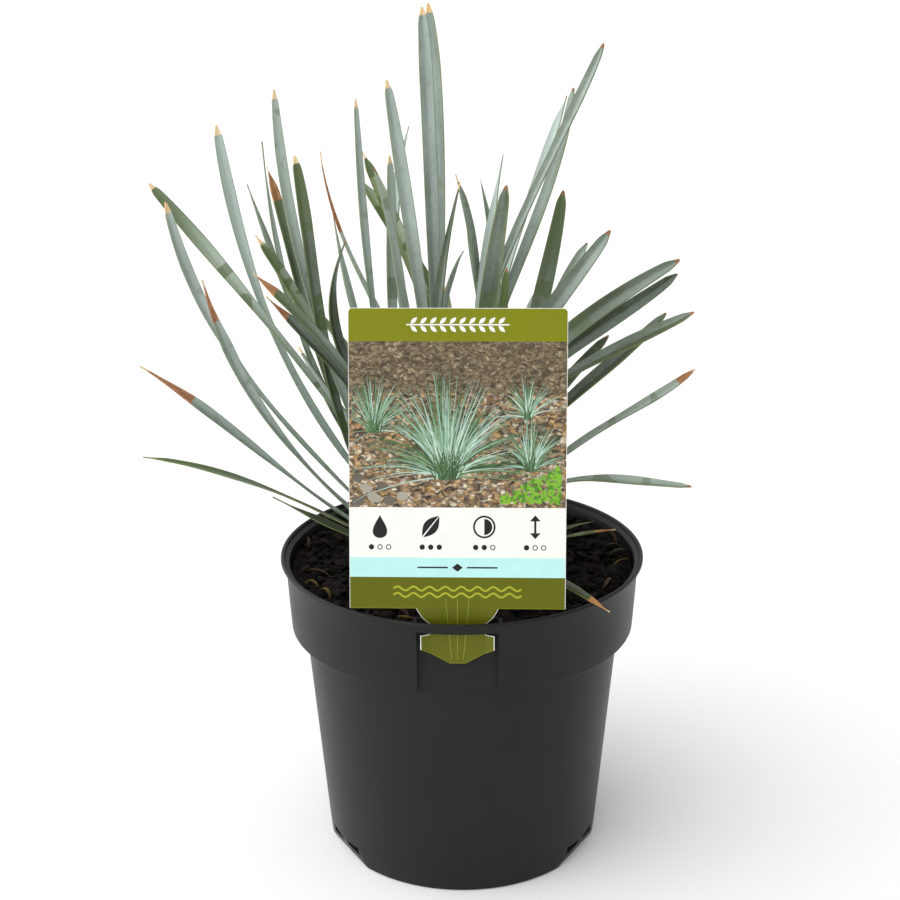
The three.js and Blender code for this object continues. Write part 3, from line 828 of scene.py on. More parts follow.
def dead_strip(blank, start, end, width, arch, draw):
    """A strip of dead leaf on the mix from start to end, arched, cupped and a little twisted."""
    strip = copy_of(blank, "strip")
    start, end = Vector(start), Vector(end)
    along = (end - start).normalized()
    side = Vector((-along.y, along.x))
    sweep, twist = draw.uniform(-0.12, 0.12) * (end - start).length, draw.uniform(-0.9, 0.9)
    low, high = soil_height(*start), soil_height(*end)
    for vertex in strip.data.vertices:
        u, t = 2 * vertex.co.x, vertex.co.y + 0.5
        hump = 4 * t * (1 - t)
        half = width / 2 * (1 - 0.7 * abs(2 * t - 1) ** 3)
        roll = twist * (t - 0.3)
        spot = start.lerp(end, t) + side * (sweep * hump + u * half * math.cos(roll))
        z = low + (high - low) * t + STRIP_LIFT + arch * hump
        z += u * half * math.sin(roll) + 0.25 * half * u * u
        vertex.co = Vector((spot.x, spot.y, z)) * MM
    return strip


class LOMANDRA_OT_mix(bpy.types.Operator):
    """Model the potting mix: a crumbled surface with lumps, bark chips and dead leaf strips"""

    bl_idname = "lomandra.mix"
    bl_label = "Potting mix"

    def execute(self, context):
        own = settings("mix")
        draw = random.Random(41)
        dark, brown, grey = tuple(own.damp), paint("211a15"), paint("1c1b1a")
        soil = soil_body()
        dress(soil, bark_mix("damp_mix", (dark, brown, grey)))
        lumps = [lump("lump_blank", (1.0, 0.82, 0.62), 4, 3), lump("clod_blank", (1.0, 0.7, 0.5), 6, 3)]
        chips = [lump("chip_blank", (1.0, 0.55, 0.3), 3), lump("slab_blank", (1.0, 0.8, 0.22), 5)]
        crumbs = [lump("crumb_blank", (1.0, 0.85, 0.7), 8)]
        lump_mix = bark_mix("mix_lump", (dark, paint("1b1715"), paint("252220")))
        chip_mix = bark_mix("bark_chip", (dark, paint("2b2019"), paint("262120")))
        crumb_mix = bark_mix("mix_crumb", (dark, paint("1e1814"), brown))
        pieces = [soil]
        for blanks, finish, count, sizes, reach, lift in (
            (lumps, lump_mix, own.lumps, (4, 10), 68.5, (-1.6, 0.6)),
            (chips, chip_mix, own.chips, (2.5, 7), 69, (-0.4, 1.6)),
            (crumbs, crumb_mix, own.crumbs, (1.0, 3.2), 69.5, (-0.3, 1.8)),
        ):
            for blank in blanks:
                dress(blank, finish)
            pieces += scatter(blanks, count, sizes, draw, reach, lift)
            for blank in blanks:
                bpy.data.objects.remove(blank)
        pieces += self.dead_leaves(draw)
        mix = join(pieces, "bark_mix")
        shade_smooth(mix, 50)
        finished(mix, "potting_mix")
        return {"FINISHED"}

    def dead_leaves(self, draw):
        """Strips at their places in the photo, and more by chance on the rest of the mix."""
        finishes = [
            bark_mix("dead_leaf_brown", (paint("3a2c20"), paint("5c4630"), paint("4a3a2a")), 0.7),
            bark_mix("dead_leaf_straw", (paint("5a4a2c"), paint("85703f"), paint("6d5c3c")), 0.7),
            bark_mix("dead_leaf_olive", (paint("2c2c1c"), paint("44452a"), paint("383426")), 0.7),
        ]
        rows = list(STRIPS)
        for _ in range(34):
            start = polar(62 * math.sqrt(draw.random()), draw.uniform(0, 2 * math.pi))
            if abs(start[0]) > 40 and start[1] < 45:
                continue
            heading, long = draw.uniform(0, 2 * math.pi), draw.uniform(8, 24)
            end = polar(long, heading, start)
            if math.hypot(*end) < 66 and end[1] > BAY_PANEL_Y + 8:
                rows.append((start, end, draw.uniform(0.7, 2.2), draw.uniform(0.3, 2.0), draw.randrange(3)))
        blank = grid_blank("strip_blank", 2, 12)
        strips = []
        for start, end, width, arch, kind in rows:
            strips.append(dead_strip(blank, start, end, width, arch, draw))
            dress(strips[-1], finishes[kind])
        bpy.data.objects.remove(blank)
        strips = join(strips, "dead_leaves")
        modify(strips, "SOLIDIFY", thickness=0.3 * MM, offset=0)
        return [strips]


# Leaves
class Leaf:
    """One leaf's centreline and facing, in millimetres."""

    def __init__(self, at, row):
        tip = Vector(row[:3])
        away = Vector((tip.x - at[0], tip.y - at[1])).normalized() * ROOT_OFFSET
        self.root = Vector((at[0] + away.x, at[1] + away.y, SOIL_LEVEL + ROOT_RISE))
        self.reach = tip - self.root
        self.bow, self.sway, self.curl, self.width, self.face = row[3:8]
        self.dried, self.tone, self.olive, self.thread = row[8:12]
        level = Vector((self.reach.x, self.reach.y, 0)).normalized()
        self.side = Vector((-level.y, level.x, 0))
        self.lift = self.reach.cross(self.side).normalized()
        if self.lift.z < 0:
            self.lift.negate()
        self.length = sum((self.point(i / 20) - self.point((i - 1) / 20)).length for i in range(1, 21))
        inward = math.degrees(math.atan2(-level.y, -level.x))
        self.twist = (inward - self.face + 180) % 360 - 180
        self.twist *= 0.3 + 0.7 * smooth((self.reach.xy.length - 50) / 50)
        self.waist = WAIST[0] * smooth((self.reach.xy.length - 45) / 40)

    def point(self, t):
        """Place on the centreline, from the root at 0 to the tip at 1."""
        arch = 4 * t * (1 - t)
        wave = 2.6 * arch * (1 - 2 * t)
        lifted = self.lift * (self.bow * arch + self.curl * wave)
        return self.root + self.reach * t + lifted + self.side * (self.sway * arch)

    def along(self, t):
        """Way the centreline runs."""
        return (self.point(t + 0.005) - self.point(t - 0.005)).normalized()

    def facing(self, t):
        """Way its flat side looks: turned inward at the root, and more upward where it lies level."""
        azimuth = math.radians(self.face + self.twist * (1 - smooth((t - TURN[0]) / TURN[1])))
        up = 0.3 + 1.1 * smooth((self.along(t).xy.length - 0.78) / 0.2)
        return Vector((math.cos(azimuth), math.sin(azimuth), up))

    def half_width(self, t):
        """Half the width at t: narrow in the sheath and at the waist, and tapered to a blunt tip."""
        from_tip = self.length * (1 - t)
        share = 0.55 + 0.45 * smooth(t / 0.5)
        share *= 1 - self.waist * math.exp(-(((from_tip - WAIST[1]) / WAIST[2]) ** 2))
        taper, wider, power = TAPER
        share *= min(1, from_tip / (taper + wider * max(0, self.width - 5))) ** power
        share *= min(1, TIP[0] + (1 - TIP[0]) * from_tip / TIP[1])
        if self.thread:
            share *= 0.12 + 0.88 * smooth(from_tip / self.thread)
        return self.width * share / 2


def seeded(seed):
    """The frame's own repeatable random numbers from 0 to 1."""
    state = seed
    while True:
        state = (state * 1664525 + 1013904223) % 2**32
        yield state / 2**32


def part_way(ends, share):
    """Value at a share of the way between two ends."""
    return ends[0] + (ends[1] - ends[0]) * share


def ruled_leaves(shoot, chance, draw):
    """Leaves on the plant's hidden sides, as in the frame, each with a finish of its own."""
    if "more" not in shoot:
        return []
    count, azimuths, reaches, heights = shoot["more"]
    rows = []
    for i in range(count):
        azimuth = part_way(azimuths, (i + 0.2 + 0.6 * next(chance)) / count)
        reach = part_way(reaches, next(chance))
        height = part_way(heights, 1 - next(chance) * next(chance))
        tip = (*polar(reach, math.radians(azimuth), shoot["at"]), SOIL_LEVEL + height)
        bow = reach * (0.1 + 0.15 * next(chance))
        face = azimuth + 180 + 70 * (next(chance) - 0.5)
        width = 4.8 + next(chance)
        looks = (draw.uniform(1.5, 5), draw.uniform(0.1, 0.7), draw.uniform(0, 0.5), 0)
        rows.append((*tip, bow, 0, 2, width, face, *looks))
    return rows


def grown_blade(blank, leaf, draw):
    """Copies the strip along one leaf, channelled and a little wavy, and notes what its finish needs."""
    blade = copy_of(blank, "blade")
    vertices = blade.data.vertices
    phase = draw.uniform(0, 6)
    notes = {"from_tip": [], "from_root": [], "across": []}
    for vertex in vertices:
        u, t = 2 * vertex.co.x, 1 - (0.5 - vertex.co.y) ** 1.6
        along = leaf.along(t)
        across = along.cross(leaf.facing(t)).normalized()
        normal = across.cross(along)
        half = leaf.half_width(t)
        channel = 0.42 * half * abs(u) ** 1.3 - 0.15 * half
        ripple = 0.25 * math.sin(t * 17 + phase) * u * smooth(t / 0.3)
        vertex.co = (leaf.point(t) + across * (u * half) + normal * (channel + ripple)) * MM
        notes["from_tip"].append(leaf.length * (1 - t))
        notes["from_root"].append(leaf.length * t)
        notes["across"].append(u)
    whole = {"dried": leaf.dried, "tone": leaf.tone, "olive": leaf.olive, "chance": draw.random()}
    for name, value in whole.items():
        notes[name] = [value] * len(vertices)
    for name, values in notes.items():
        blade.data.attributes.new(name, "FLOAT", "POINT").data.foreach_set("value", values)
    return blade


def bract_rows(at, draw):
    """Short dry scales that wrap the foot of a shoot."""
    rows = []
    for i in range(5):
        azimuth = 72 * i + draw.uniform(-20, 20)
        spot = polar(draw.uniform(4, 9), math.radians(azimuth), at)
        height = SOIL_LEVEL + draw.uniform(16, 40)
        rows.append((*spot, height, -1.5, 0, 0, draw.uniform(6, 8), azimuth + 180, 1, 0.9, 0.6, 0))
    return rows


def leaf_finish(own):
    """Waxy blue-grey strap leaf: veins, rubbed green bands, dark green margins, dried tan end."""
    material, tree, shader = new_finish("leaf_blade", 0.5, 0.4)
    names = ("from_tip", "from_root", "across", "dried", "tone", "olive", "chance")
    from_tip, from_root, across, dried, tone, olive, chance = (
        add(tree, "Attribute", output="Fac", attribute_name=name) for name in names
    )
    shifted = chance * 57

    def pattern(wide, long, detail=2.0, roughness=0.5):
        """Noise with this many features over half the width and in a millimetre of length."""
        spot = add(tree, "CombineXYZ", {0: across * wide, 1: from_root * long, 2: shifted})
        return speckle(spot, 1.0, detail, roughness)

    streaks = pattern(14, 0.05, 3, 0.6)
    drift = pattern(0.3, 0.035, 1)
    blotch = pattern(2.0, 0.28, 3, 0.6)
    veins = (across * 34).maths("SINE")
    # Painted shade: one half of each blade, on a side picked by chance, is darkened as if turned away from
    # the light
    shaded_half = between(across * (chance - 0.45).maths("SIGN"), -0.15, 0.35)

    # The waxy bloom, from pale to dark with painted shade on one half of the blade, and where the leaf has
    # none
    dark = tone - 0.7 + streaks * 0.3 + drift * 0.6 + blotch * 0.3 + shaded_half * 0.2
    bloom = mixed(dark.at_least(0).at_most(1), own.bloom, own.shade)
    bare = mixed(tone, mixed(streaks, own.olive, paint("98a468")), paint("39421e"))
    # The painted-shade half also takes more of the darker bare colour
    blade = mixed(olive * (shaded_half * 0.35 + 0.55), bloom, bare)

    # Green where the bloom is rubbed off: in bands, in spots and at the ends of half olive leaves
    rub = between(pattern(0.12, 0.1, 1, 0.4) + olive * 0.18 - 0.68, -0.012, 0.018)
    spots = between(blotch, 0.6, 0.7) * 0.3
    ends = between(from_tip, 44, 10) * between(olive, 0.3, 0.42) * between(olive, 0.9, 0.7) * 0.8
    rubbed = (rub * (olive * 0.9 + 0.22)).at_most(0.8).at_least(spots).at_least(ends)
    blade = mixed(rubbed.at_most(0.85), blade, mixed(streaks, paint("43552a"), paint("667a3f")))

    # Margins, veins, dust and the leaf's brownish foot
    edge = between(across.maths("ABSOLUTE"), 0.86, 0.96)
    blade = mixed(edge * 0.6, blade, mixed(chance, paint("48592f"), paint("8a9652")))
    blade = mixed(veins * 0.06 + 0.06, blade, own.shade)
    specks = speckle(place(tree), 1500, 2, 0.6)
    blade = mixed(between(specks, 0.66, 0.74) * 0.3, blade, paint("c9d2ca"))
    blade = mixed(between(from_root, 34, 6) * 0.7, blade, paint("6f6c4c"))

    # The dried end: a long brown husk with a pale thread, or a short straw cap
    dry = between(dried - (from_tip - 0.8 + streaks * 1.6), -0.15, 0.15)
    husk = mixed(chance, own.dried, paint("8a5840"))
    husk = mixed(streaks * 0.7, husk, paint("6e4630"))
    husk = mixed(between(blotch, 0.48, 0.62) * 0.6, husk, paint("cf9f76"))
    husk = mixed(olive * 0.8, husk, paint("b58547"))
    husk = mixed(between(from_tip - dried * 0.16, 0.8, -0.8) * 0.8, husk, paint("e6cfa0"))
    cap = mixed(chance, paint("fff0c8"), paint("f3cf94"))
    cap = mixed(streaks.at_least(edge) * 0.6, cap, paint("c58d48"))
    cap = mixed(between(dried, 2.5, 1.9), cap, paint("8f6846"))
    blade = mixed(dry, blade, mixed(between(dried, 9, 5), husk, cap))

    feed(shader, "Base Color", blade)
    feed(shader, "Roughness", rubbed * -0.15 + 0.52 + dry * 0.2)
    bump(shader, veins * 0.3 + streaks, 0.35, 0.12 * MM)
    return material


def sheath_cone(at):
    """The short flattened cone that the leaves rise from."""
    profile = [
        (0, -14),
        (SHEATH_RADIUS * 0.9, -14),
        (SHEATH_RADIUS, 4),
        (SHEATH_RADIUS * 0.86, SHEATH_HEIGHT * 0.55),
        (SHEATH_RADIUS * 0.5, SHEATH_HEIGHT),
        (0, SHEATH_HEIGHT + 3),
    ]
    cone = turned("sheath", profile, 24)
    outward = Matrix.Rotation(math.atan2(at[1], at[0]), 4, "Z")
    flat = Matrix.Diagonal((SHEATH_FLATTEN, 1, 1, 1))
    cone.data.transform(Matrix.Translation(Vector((*at, SOIL_LEVEL)) * MM) @ outward @ flat)
    only(cone)
    bpy.ops.object.shade_smooth()
    return cone


class LOMANDRA_OT_leaves(bpy.types.Operator):
    """Grow the nine shoots of strap leaves, one piece for each shoot"""

    bl_idname = "lomandra.leaves"
    bl_label = "Leaves"

    def execute(self, context):
        own = settings("leaves")
        finish = leaf_finish(own)
        foot = bark_mix("sheath_husk", (paint("3a3023"), paint("5c5038"), paint("6b6446")), 0.75)
        blank = grid_blank("blade_blank", 6, 52)
        chance, draw = seeded(LEAF_SEED), random.Random(7)
        for node, shoot in SHOOTS.items():
            rows = [*shoot["leaves"], *ruled_leaves(shoot, chance, draw)]
            rows += bract_rows(shoot["at"], draw)
            blades = [grown_blade(blank, Leaf(shoot["at"], row), draw) for row in rows]
            leaves = join(blades, node.replace("shoot", "leaves"))
            dress(leaves, finish)
            modify(leaves, "SOLIDIFY", thickness=own.thickness, offset=0)
            shade_smooth(leaves, 50)
            cone = sheath_cone(shoot["at"])
            dress(cone, foot)
            leaves = join([leaves, cone], leaves.name)
            finished(leaves, node)
        bpy.data.objects.remove(blank)
        return {"FINISHED"}


# Label
def printed(name, colour):
    """Smooth printed plastic with a fine print grain."""
    material, tree, shader = new_finish(name, 0.45, 0.2)
    at = place(tree)
    deeper = tuple(c * 0.8 for c in colour)
    tint = mixed(speckle(at, 2600, 2, 0.7) * 0.7, colour, deeper)
    cloud = between(speckle(at, 120, 2), 0.35, 0.7) * 0.25
    feed(shader, "Base Color", mixed(cloud, tint, deeper))
    bump(shader, speckle(at, 500, 1), 0.05, 0.1 * MM)
    return material


def printed_chips(name, codes, scale):
    """A printed ground of loose chips, each in one of a few colours."""
    material, tree, shader = new_finish(name, 0.36, 0.45)
    at = place(tree)
    drift = add(tree, "TexNoise", {"Vector": at, "Scale": 300.0, "Detail": 2.0}, "Color")
    nudged = add(tree, "VectorMath", {0: drift, "Scale": 0.004}, operation="SCALE")
    moved = add(tree, "VectorMath", {0: at, 1: nudged}, operation="ADD")
    squashed = add(tree, "Mapping", {"Vector": moved, "Scale": (1.0, 0.3, 1.9)})
    cells = add(tree, "TexVoronoi", {"Vector": squashed, "Scale": scale}, "Color")
    ramp = add(tree, "ValToRGB", {0: add(tree, "SeparateColor", {0: cells})})
    stops = ramp.socket.node.color_ramp.elements
    while len(stops) < len(codes):
        stops.new(0.5)
    for i, code in enumerate(codes):
        stops[i].position = i / (len(codes) - 1)
        stops[i].color = (*paint(code), 1)
    gap = between(Value(cells.socket.node.outputs["Distance"]), 0.35, 0.75)
    feed(shader, "Base Color", mixed(gap * 0.6, ramp, paint("2c2119")))
    return material


def label_lean(height):
    """How far back the card leans at a height, in millimetres."""
    return max(0.0, height - LABEL_BOTTOM) * math.tan(LABEL_LEAN)


def on_card(piece, proud):
    """Lays a flat print, drawn in x and y as across and up, on the card's front."""
    for vertex in piece.data.vertices:
        across, up, lift = vertex.co
        vertex.co = (across, (TONGUE_Y + label_lean(up / MM) - proud) * MM - lift, up)
    return piece


def shape(outline, finish):
    """A flat print with this outline of (across, up) points, counter-clockwise, in millimetres."""
    circle = bpy.ops.mesh.primitive_circle_add
    piece = new_piece(circle, "print", vertices=len(outline), fill_type="NGON")
    for vertex, (across, up) in zip(piece.data.vertices, outline):
        vertex.co = (across * MM, up * MM, 0)
    dress(piece, finish)
    return piece


def placed(points, centre, turn):
    """Points of an outline turned by an angle in radians and moved to their centre."""
    cos, sin = math.cos(turn), math.sin(turn)
    return [(centre[0] + x * cos - y * sin, centre[1] + x * sin + y * cos) for x, y in points]


def oval(centre, wide, high, turn=0.0, count=20):
    """An ellipse."""
    angles = [2 * math.pi * i / count for i in range(count)]
    return placed([(wide * math.cos(a), high * math.sin(a)) for a in angles], centre, turn)


def leaflet(centre, length, width, turn, count=6):
    """A pointed oval, as a small printed leaf."""
    points = []
    for side in (1, -1):
        for share in [i / count for i in range(count)]:
            points.append((side * length * (share - 0.5), -side * width / 2 * math.sin(math.pi * share)))
    return placed(points, centre, turn)


def bar(low, high):
    """An upright rectangle between two corners."""
    return [low, (high[0], low[1]), high, (low[0], high[1])]


def drop_outline(centre, size):
    """A drop with its point up."""
    turns = [2 * math.pi * i / 28 for i in range(28)]
    return [
        (centre[0] - size * 0.9 * math.sin(t) * math.sin(t / 2) ** 1.5, centre[1] + size * math.cos(t))
        for t in turns
    ]


class Press:
    """Prints shapes and lines on the card, each a step prouder than the last."""

    def __init__(self, finishes):
        self.finishes = finishes
        self.pieces = []
        self.blank = grid_blank("stroke_blank", 1, 7)

    def layer(self, proud, step=0.0):
        """Sets how far the next prints stand off the card, in millimetres."""
        self.proud, self.step = proud, step

    def keep(self, piece):
        """Lays a print on the card and makes ready for the next."""
        self.pieces.append(on_card(piece, self.proud))
        self.proud += self.step

    def fill(self, outline, finish):
        """Prints a filled outline."""
        self.keep(shape(outline, self.finishes[finish]))

    def line(self, path, width, finish, taper=0.0):
        """Prints a line along a path of (across, up) from 0 to 1, narrowing by taper."""
        piece = copy_of(self.blank, "stroke")
        for vertex in piece.data.vertices:
            u, t = 2 * vertex.co.x, vertex.co.y + 0.5
            here = Vector(path(t))
            along = (Vector(path(t + 0.01)) - here).normalized()
            half = width / 2 * (1 - taper * t**1.5)
            spot = here + Vector((along.y, -along.x)) * u * half
            vertex.co = (spot.x * MM, spot.y * MM, 0)
        dress(piece, self.finishes[finish])
        self.keep(piece)


def card_outline(half):
    """Outline of the card and its tongue, counter-clockwise from the tongue's tip."""
    neck, shoulder = 10.8, 13.85
    right = [(3.0, 109.7), (shoulder, 115.9), (shoulder, 121.7), (neck, 121.7)]
    low, bend, high = Vector((neck, 126.4)), Vector((13.6, 128.2)), Vector((15.5, LABEL_BOTTOM))
    for t in [i / 6 for i in range(7)]:
        right.append(tuple(low.lerp(bend, t).lerp(bend.lerp(high, t), t)))
    right.append((half, LABEL_BOTTOM))
    corner = 1.6
    right += arc((half - corner, LABEL_TOP - corner), corner, 0, 90, 5)
    return right + [(-x, z) for x, z in reversed(right)]


def self_coloured(spot):
    """Whether a place on the card's margin is printed to its edge: the tongue's tip and the card's foot."""
    across, up, _ = spot
    on_tip = abs(across) < TONGUE_TIP[0] and up < TONGUE_TIP[1]
    return on_tip or LABEL_BOTTOM < up < LABEL_BOTTOM + LABEL_MARGIN


def card_body(own, finishes):
    """The card: its outline with a white margin, split into printed bands, leaned and thickened."""
    half = own.width / 2 / MM
    card = shape(card_outline(half), finishes["white"])
    card.name = "plant_card"
    order = ("white", "band", "far", "ground", "white", "strip", "foot")
    dress(card, *[finishes[name] for name in order])
    only(card)
    bpy.ops.object.mode_set(mode="EDIT")
    bpy.ops.mesh.select_mode(type="FACE")
    bpy.ops.mesh.select_all(action="SELECT")
    bpy.ops.mesh.inset(thickness=LABEL_MARGIN * MM, use_even_offset=True)
    card.active_material_index = 1
    bpy.ops.object.material_slot_assign()
    for level in (LABEL_BOTTOM, *LABEL_BANDS):
        bpy.ops.mesh.select_all(action="SELECT")
        bpy.ops.mesh.bisect(plane_co=(0, level * MM, 0), plane_no=(0, 1, 0))
    for side in (-1, 1):
        bpy.ops.mesh.select_all(action="SELECT")
        bpy.ops.mesh.bisect(plane_co=(side * FLAP_FOLD * MM, 0, 0), plane_no=(1, 0, 0))
    bpy.ops.object.mode_set(mode="OBJECT")
    for face in card.data.polygons:
        if face.material_index:
            above = sum(face.center.y / MM > level for level in LABEL_BANDS)
            face.material_index = len(LABEL_BANDS) + 1 - above
        elif self_coloured(face.center / MM):
            face.material_index = order.index("band")
    for vertex in card.data.vertices:
        across, up, _ = vertex.co / MM
        if up < FLAP_TOP and abs(across) > FLAP_FOLD:
            vertex.co.z += FLAP_SLOPE * (abs(across) - FLAP_FOLD) * MM
    on_card(card, 0)
    modify(card, "SOLIDIFY", thickness=own.thickness, offset=-1)
    for face in card.data.polygons:
        if abs(face.normal.y) < 0.5 or (face.normal.y > 0 and order[face.material_index] != "band"):
            face.material_index = 0
    return card


def grass_tuft(press, foot, reach, count, draw, bounds):
    """One printed tuft of arching blades, dark at the back and pale in front."""
    foot_x, foot_z = foot
    half, floor, ceiling = bounds
    for i in range(count):
        lean = draw.gauss(0, 0.5)
        long = reach * draw.uniform(0.6, 1.15) * (1 - 0.18 * abs(lean))
        start = foot_x + draw.gauss(0, reach * 0.045)
        droop = draw.uniform(0.1, 0.5) * abs(lean)

        def arch(t):
            x = start + long * t * math.sin(lean) * (1 + 0.35 * t)
            z = foot_z + long * t * (math.cos(lean) - droop * t)
            return min(max(x, -half), half), min(max(z, floor), ceiling)

        tone = draw.choice(TUFT_TONES[min(3, int(3.6 * i / count + draw.random()))])
        press.line(arch, draw.uniform(0.3, 0.65) * (0.6 + reach / 60), tone, 0.85)
    for _ in range(count // 3):
        lean = draw.gauss(0, 0.4)
        start, long = foot_x + draw.gauss(0, reach * 0.05), reach * draw.uniform(0.15, 0.4)

        def root(t):
            return start + long * t * math.sin(lean), foot_z - 0.5 + long * t * math.cos(lean)

        width = draw.uniform(0.3, 0.6)
        press.line(root, width, draw.choice(("root", "deep")), 0.9)


def picture(press, draw):
    """The printed picture: arching grassy tufts, small leaves and pebbles on loose chips."""
    floor, ceiling = LABEL_BANDS[2] + 0.4, LABEL_BANDS[0] - 0.4
    half = 39.6
    press.layer(0.02, 0.0002)
    for i, (across, up) in enumerate(PEBBLES):
        wide = 2.0 + 0.7 * draw.random()
        spot = (max(across, wide - half), floor + 1.9 + up)
        outline = oval(spot, wide, 1.7, draw.uniform(-0.3, 0.3))
        press.fill(outline, "pebble_light" if i % 2 else "pebble_dark")
    for _ in range(150):
        across = half - 1.5 - 22 * draw.random() ** 1.5
        up = floor + 1.4 + draw.random() * (14 - 0.5 * (half - across))
        finish = draw.choice(("lime", "lime", "lime_dark"))
        size = draw.uniform(1.8, 3.0)
        press.fill(leaflet((across, up), size, size * 0.45, draw.uniform(0, 3.1)), finish)
    press.layer(0.05, 0.0003)
    for foot, reach, count in TUFTS:
        grass_tuft(press, foot, reach, count, draw, (half - 0.4, floor, ceiling))


def symbols(press):
    """Plain signs on the white strip: a drop, a leaf, a half-shaded disc and a height arrow."""
    middle = (LABEL_BANDS[2] + LABEL_BANDS[3]) / 2 + 2.2
    places = (-29, -10, 10, 29)
    disc = (places[2], middle)
    press.layer(0.02, 0.002)
    press.fill(drop_outline((places[0], middle), 4.3), "ink")
    press.fill(leaflet((places[1], middle), 10.4, 5.4, 0.9, 9), "ink")
    press.fill(oval(disc, 4.2, 4.2, count=32), "ink")
    press.fill(oval(disc, 3.5, 3.5, count=32), "white")
    press.fill(arc(disc, 3.0, -90, 90, 17), "ink")
    arrow = places[3]
    press.fill(bar((arrow - 0.4, middle - 3), (arrow + 0.4, middle + 3)), "ink")
    for way in (1, -1):
        base, point = middle + way * 2.2, middle + way * 4.4
        press.fill([(arrow - way * 2, base), (arrow + way * 2, base), (arrow, point)], "ink")
    for column, across in enumerate(places):
        for dot in range(3):
            spot = (across + 3.2 * (dot - 1), middle - 7.6)
            press.fill(oval(spot, 1.0, 1.0, count=16), "ink")
            if dot > (column * 2) % 3:
                press.fill(oval(spot, 0.66, 0.66, count=16), "white")
    press.layer(0.1)
    press.line(lambda t: (-13.4 + 7.2 * t, middle - 4.2 + 9 * t), 0.5, "white", 0.6)


def ornaments(press):
    """A sprig on the top band, a lozenge on the blue strip and waves on the lowest band."""
    top = (LABEL_TOP + LABEL_BANDS[0]) / 2
    middle = (LABEL_BANDS[3] + LABEL_BANDS[4]) / 2
    low = (LABEL_BOTTOM + LABEL_BANDS[4]) / 2 + 0.4
    press.layer(0.03)
    press.line(lambda t: (-19 + 38 * t, top), 0.5, "white")
    press.layer(0.04)
    for i in range(10):
        for side in (-1, 1):
            spot = (-16.2 + 3.6 * i, top + side * 1.5)
            press.fill(leaflet(spot, 3.4, 1.5, side * 0.75), "white")
    press.layer(0.03)
    for near, far in ((-15, -3.6), (3.6, 15)):
        press.fill(bar((near, middle - 0.28), (far, middle + 0.28)), "ink")
    press.fill([(-2, middle), (0, middle - 1.5), (2, middle), (0, middle + 1.5)], "ink")
    for row in (0.0, 2.4):
        for start in range(-24, 24, 6):

            def wave(t):
                return start + 6 * t, low - 1.2 + row + 0.8 * math.sin(2 * math.pi * t)

            press.line(wave, 0.75, "straw")


def tongue_ribs(press):
    """Three pressed ribs that run down the tongue and draw together, bent where the card bends."""
    press.layer(0.1)
    for side in (-1, 0, 1):
        for ends in ((RIB_ENDS[0], LABEL_BOTTOM), (LABEL_BOTTOM, RIB_ENDS[1])):

            def path(t):
                up = part_way(ends, t)
                return side * (2.2 + 0.09 * (up - RIB_ENDS[0])), up

            press.line(path, 0.35, "rib")


class LOMANDRA_OT_label(bpy.types.Operator):
    """Model the plant label: a bent card with its tongue, ribs and a plain printed design"""

    bl_idname = "lomandra.label"
    bl_label = "Plant label"

    def execute(self, context):
        own = settings("label")
        draw = random.Random(23)
        finishes = {name: printed("print_" + name, paint(code)) for name, code in PRINT_COLOURS.items()}
        finishes["band"] = printed("print_band", own.band)
        finishes["foot"] = printed("print_foot", tuple(c * 0.56 for c in own.band))
        finishes["strip"] = printed("print_strip", own.strip)
        finishes["ground"] = printed_chips("print_ground", GROUND_COLOURS, 620)
        finishes["far"] = printed_chips("print_far", FAR_COLOURS, 760)
        press = Press(finishes)
        picture(press, draw)
        symbols(press)
        ornaments(press)
        tongue_ribs(press)
        prints = join(press.pieces, "label_print")
        modify(prints, "SOLIDIFY", thickness=0.02 * MM, offset=-1)
        label = join([card_body(own, finishes), prints], "plant_card")
        label.data.transform(Matrix.Rotation(BAY_TURN, 4, "Z"))
        bpy.data.objects.remove(press.blank)
        finished(label, "plant_label")
        return {"FINISHED"}


# Stage
def soft_studio(own):
    """Even light from all round, with a broad soft box low on the left and a darker front."""
    world = bpy.data.worlds.new("soft_studio")
    world.use_nodes = True
    tree = world.node_tree
    across = add(tree, "SeparateXYZ", {0: add(tree, "TexCoord", output="Generated")})
    away = Value(across.socket.node.outputs[1])
    left = (across * -1.0).at_least(0.0).maths("POWER", 2.6)
    front = (away * -1.0).at_least(0.0)
    background = tree.nodes["Background"]
    feed(background, "Strength", left * own.side + own.sky + front * (-0.35 * own.sky))
    feed(background, "Color", (1, 1, 1))
    return world


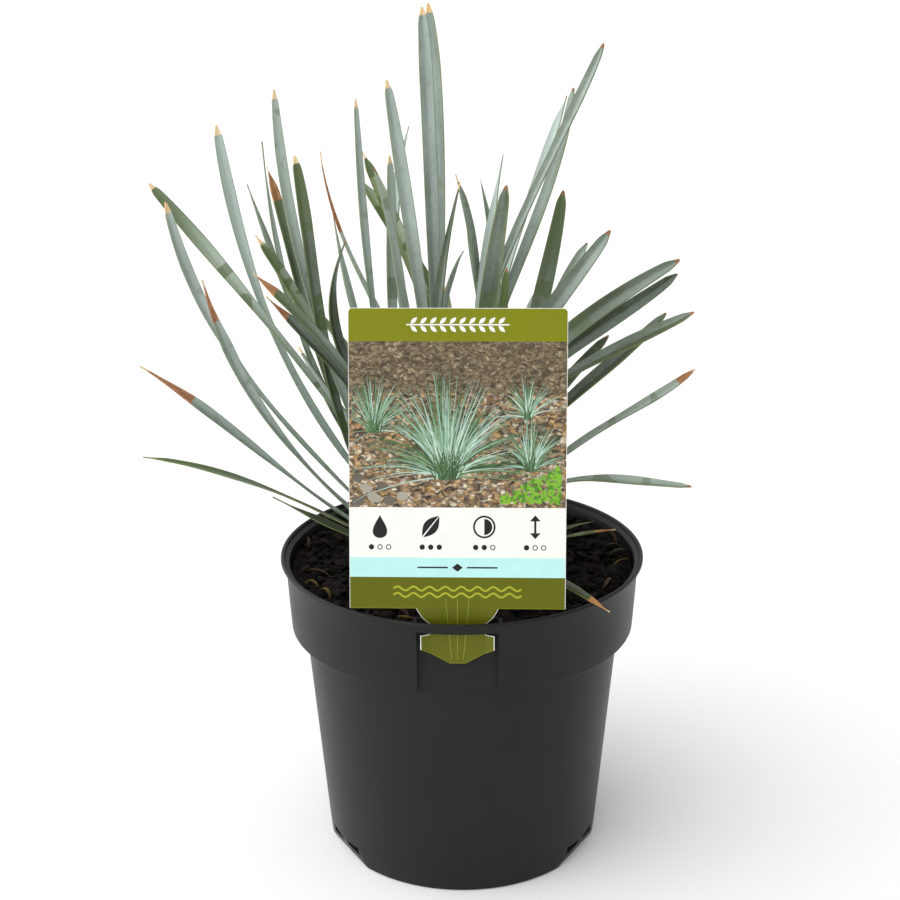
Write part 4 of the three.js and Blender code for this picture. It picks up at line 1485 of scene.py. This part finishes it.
class LOMANDRA_OT_stage(bpy.types.Operator):
    """Lay the pale floor, set the soft light and place the camera"""

    bl_idname = "lomandra.stage"
    bl_label = "Stage"

    def execute(self, context):
        own = settings("stage")
        floor = new_piece(bpy.ops.mesh.primitive_plane_add, "floor", size=own.floor_size)
        material, _, shader = new_finish("pale_floor", 0.9, 0.1)
        feed(shader, "Base Color", (0.93, 0.93, 0.93))
        dress(floor, material)

        context.scene.world = soft_studio(own)
        bpy.ops.object.light_add(type="SUN", rotation=(math.radians(30), math.radians(-28), 0))
        sun = bpy.context.object
        sun.data.energy = own.key
        sun.data.angle = math.radians(60)

        right = Vector((math.cos(CAMERA_YAW), -math.sin(CAMERA_YAW), 0))
        forward = Vector((
            math.sin(CAMERA_YAW) * math.cos(CAMERA_PITCH),
            math.cos(CAMERA_YAW) * math.cos(CAMERA_PITCH),
            -math.sin(CAMERA_PITCH),
        ))
        up = right.cross(forward)
        turn = Matrix((right, up, -forward)).transposed().to_4x4() @ Matrix.Rotation(CAMERA_ROLL, 4, "Z")
        bpy.ops.object.camera_add()
        camera = bpy.context.object
        camera.matrix_world = Matrix.Translation(CAMERA_AT) @ turn
        camera.data.lens = CAMERA_LENS
        camera.data.sensor_width = 36
        context.scene.camera = camera
        context.scene.view_settings.view_transform = "Standard"
        return {"FINISHED"}


class LOMANDRA_PT_panel(bpy.types.Panel):
    """Lists the steps that build the potted lomandra"""

    bl_label = "Potted lomandra"
    bl_idname = "LOMANDRA_PT_panel"
    bl_space_type = "VIEW_3D"
    bl_region_type = "UI"
    bl_category = "Lomandra"

    def draw(self, context):
        for group in SETTINGS:
            own = settings(group)
            column = self.layout.column(align=True)
            for name in own.__annotations__:
                column.prop(own, name)
        for step in STEPS:
            self.layout.operator(step.bl_idname)


SETTINGS = {
    "pot": PotSettings,
    "mix": MixSettings,
    "label": LabelSettings,
    "leaves": LeafSettings,
    "stage": StageSettings,
}
STEPS = (LOMANDRA_OT_stage, LOMANDRA_OT_pot, LOMANDRA_OT_mix, LOMANDRA_OT_label, LOMANDRA_OT_leaves)


def register():
    """Makes the settings, steps and panel known."""
    for name, group in SETTINGS.items():
        bpy.utils.register_class(group)
        setattr(bpy.types.Scene, "lomandra_" + name, PointerProperty(type=group))
    for step in (*STEPS, LOMANDRA_PT_panel):
        bpy.utils.register_class(step)


def unregister():
    """Takes them away again."""
    for step in (LOMANDRA_PT_panel, *reversed(STEPS)):
        bpy.utils.unregister_class(step)
    for name, group in SETTINGS.items():
        delattr(bpy.types.Scene, "lomandra_" + name)
        bpy.utils.unregister_class(group)


def main():
    """Builds the plant step by step."""
    register()
    bpy.ops.lomandra.stage()
    bpy.ops.lomandra.pot()
    bpy.ops.lomandra.mix()
    bpy.ops.lomandra.label()
    bpy.ops.lomandra.leaves()


if __name__ == "__main__":
    main()
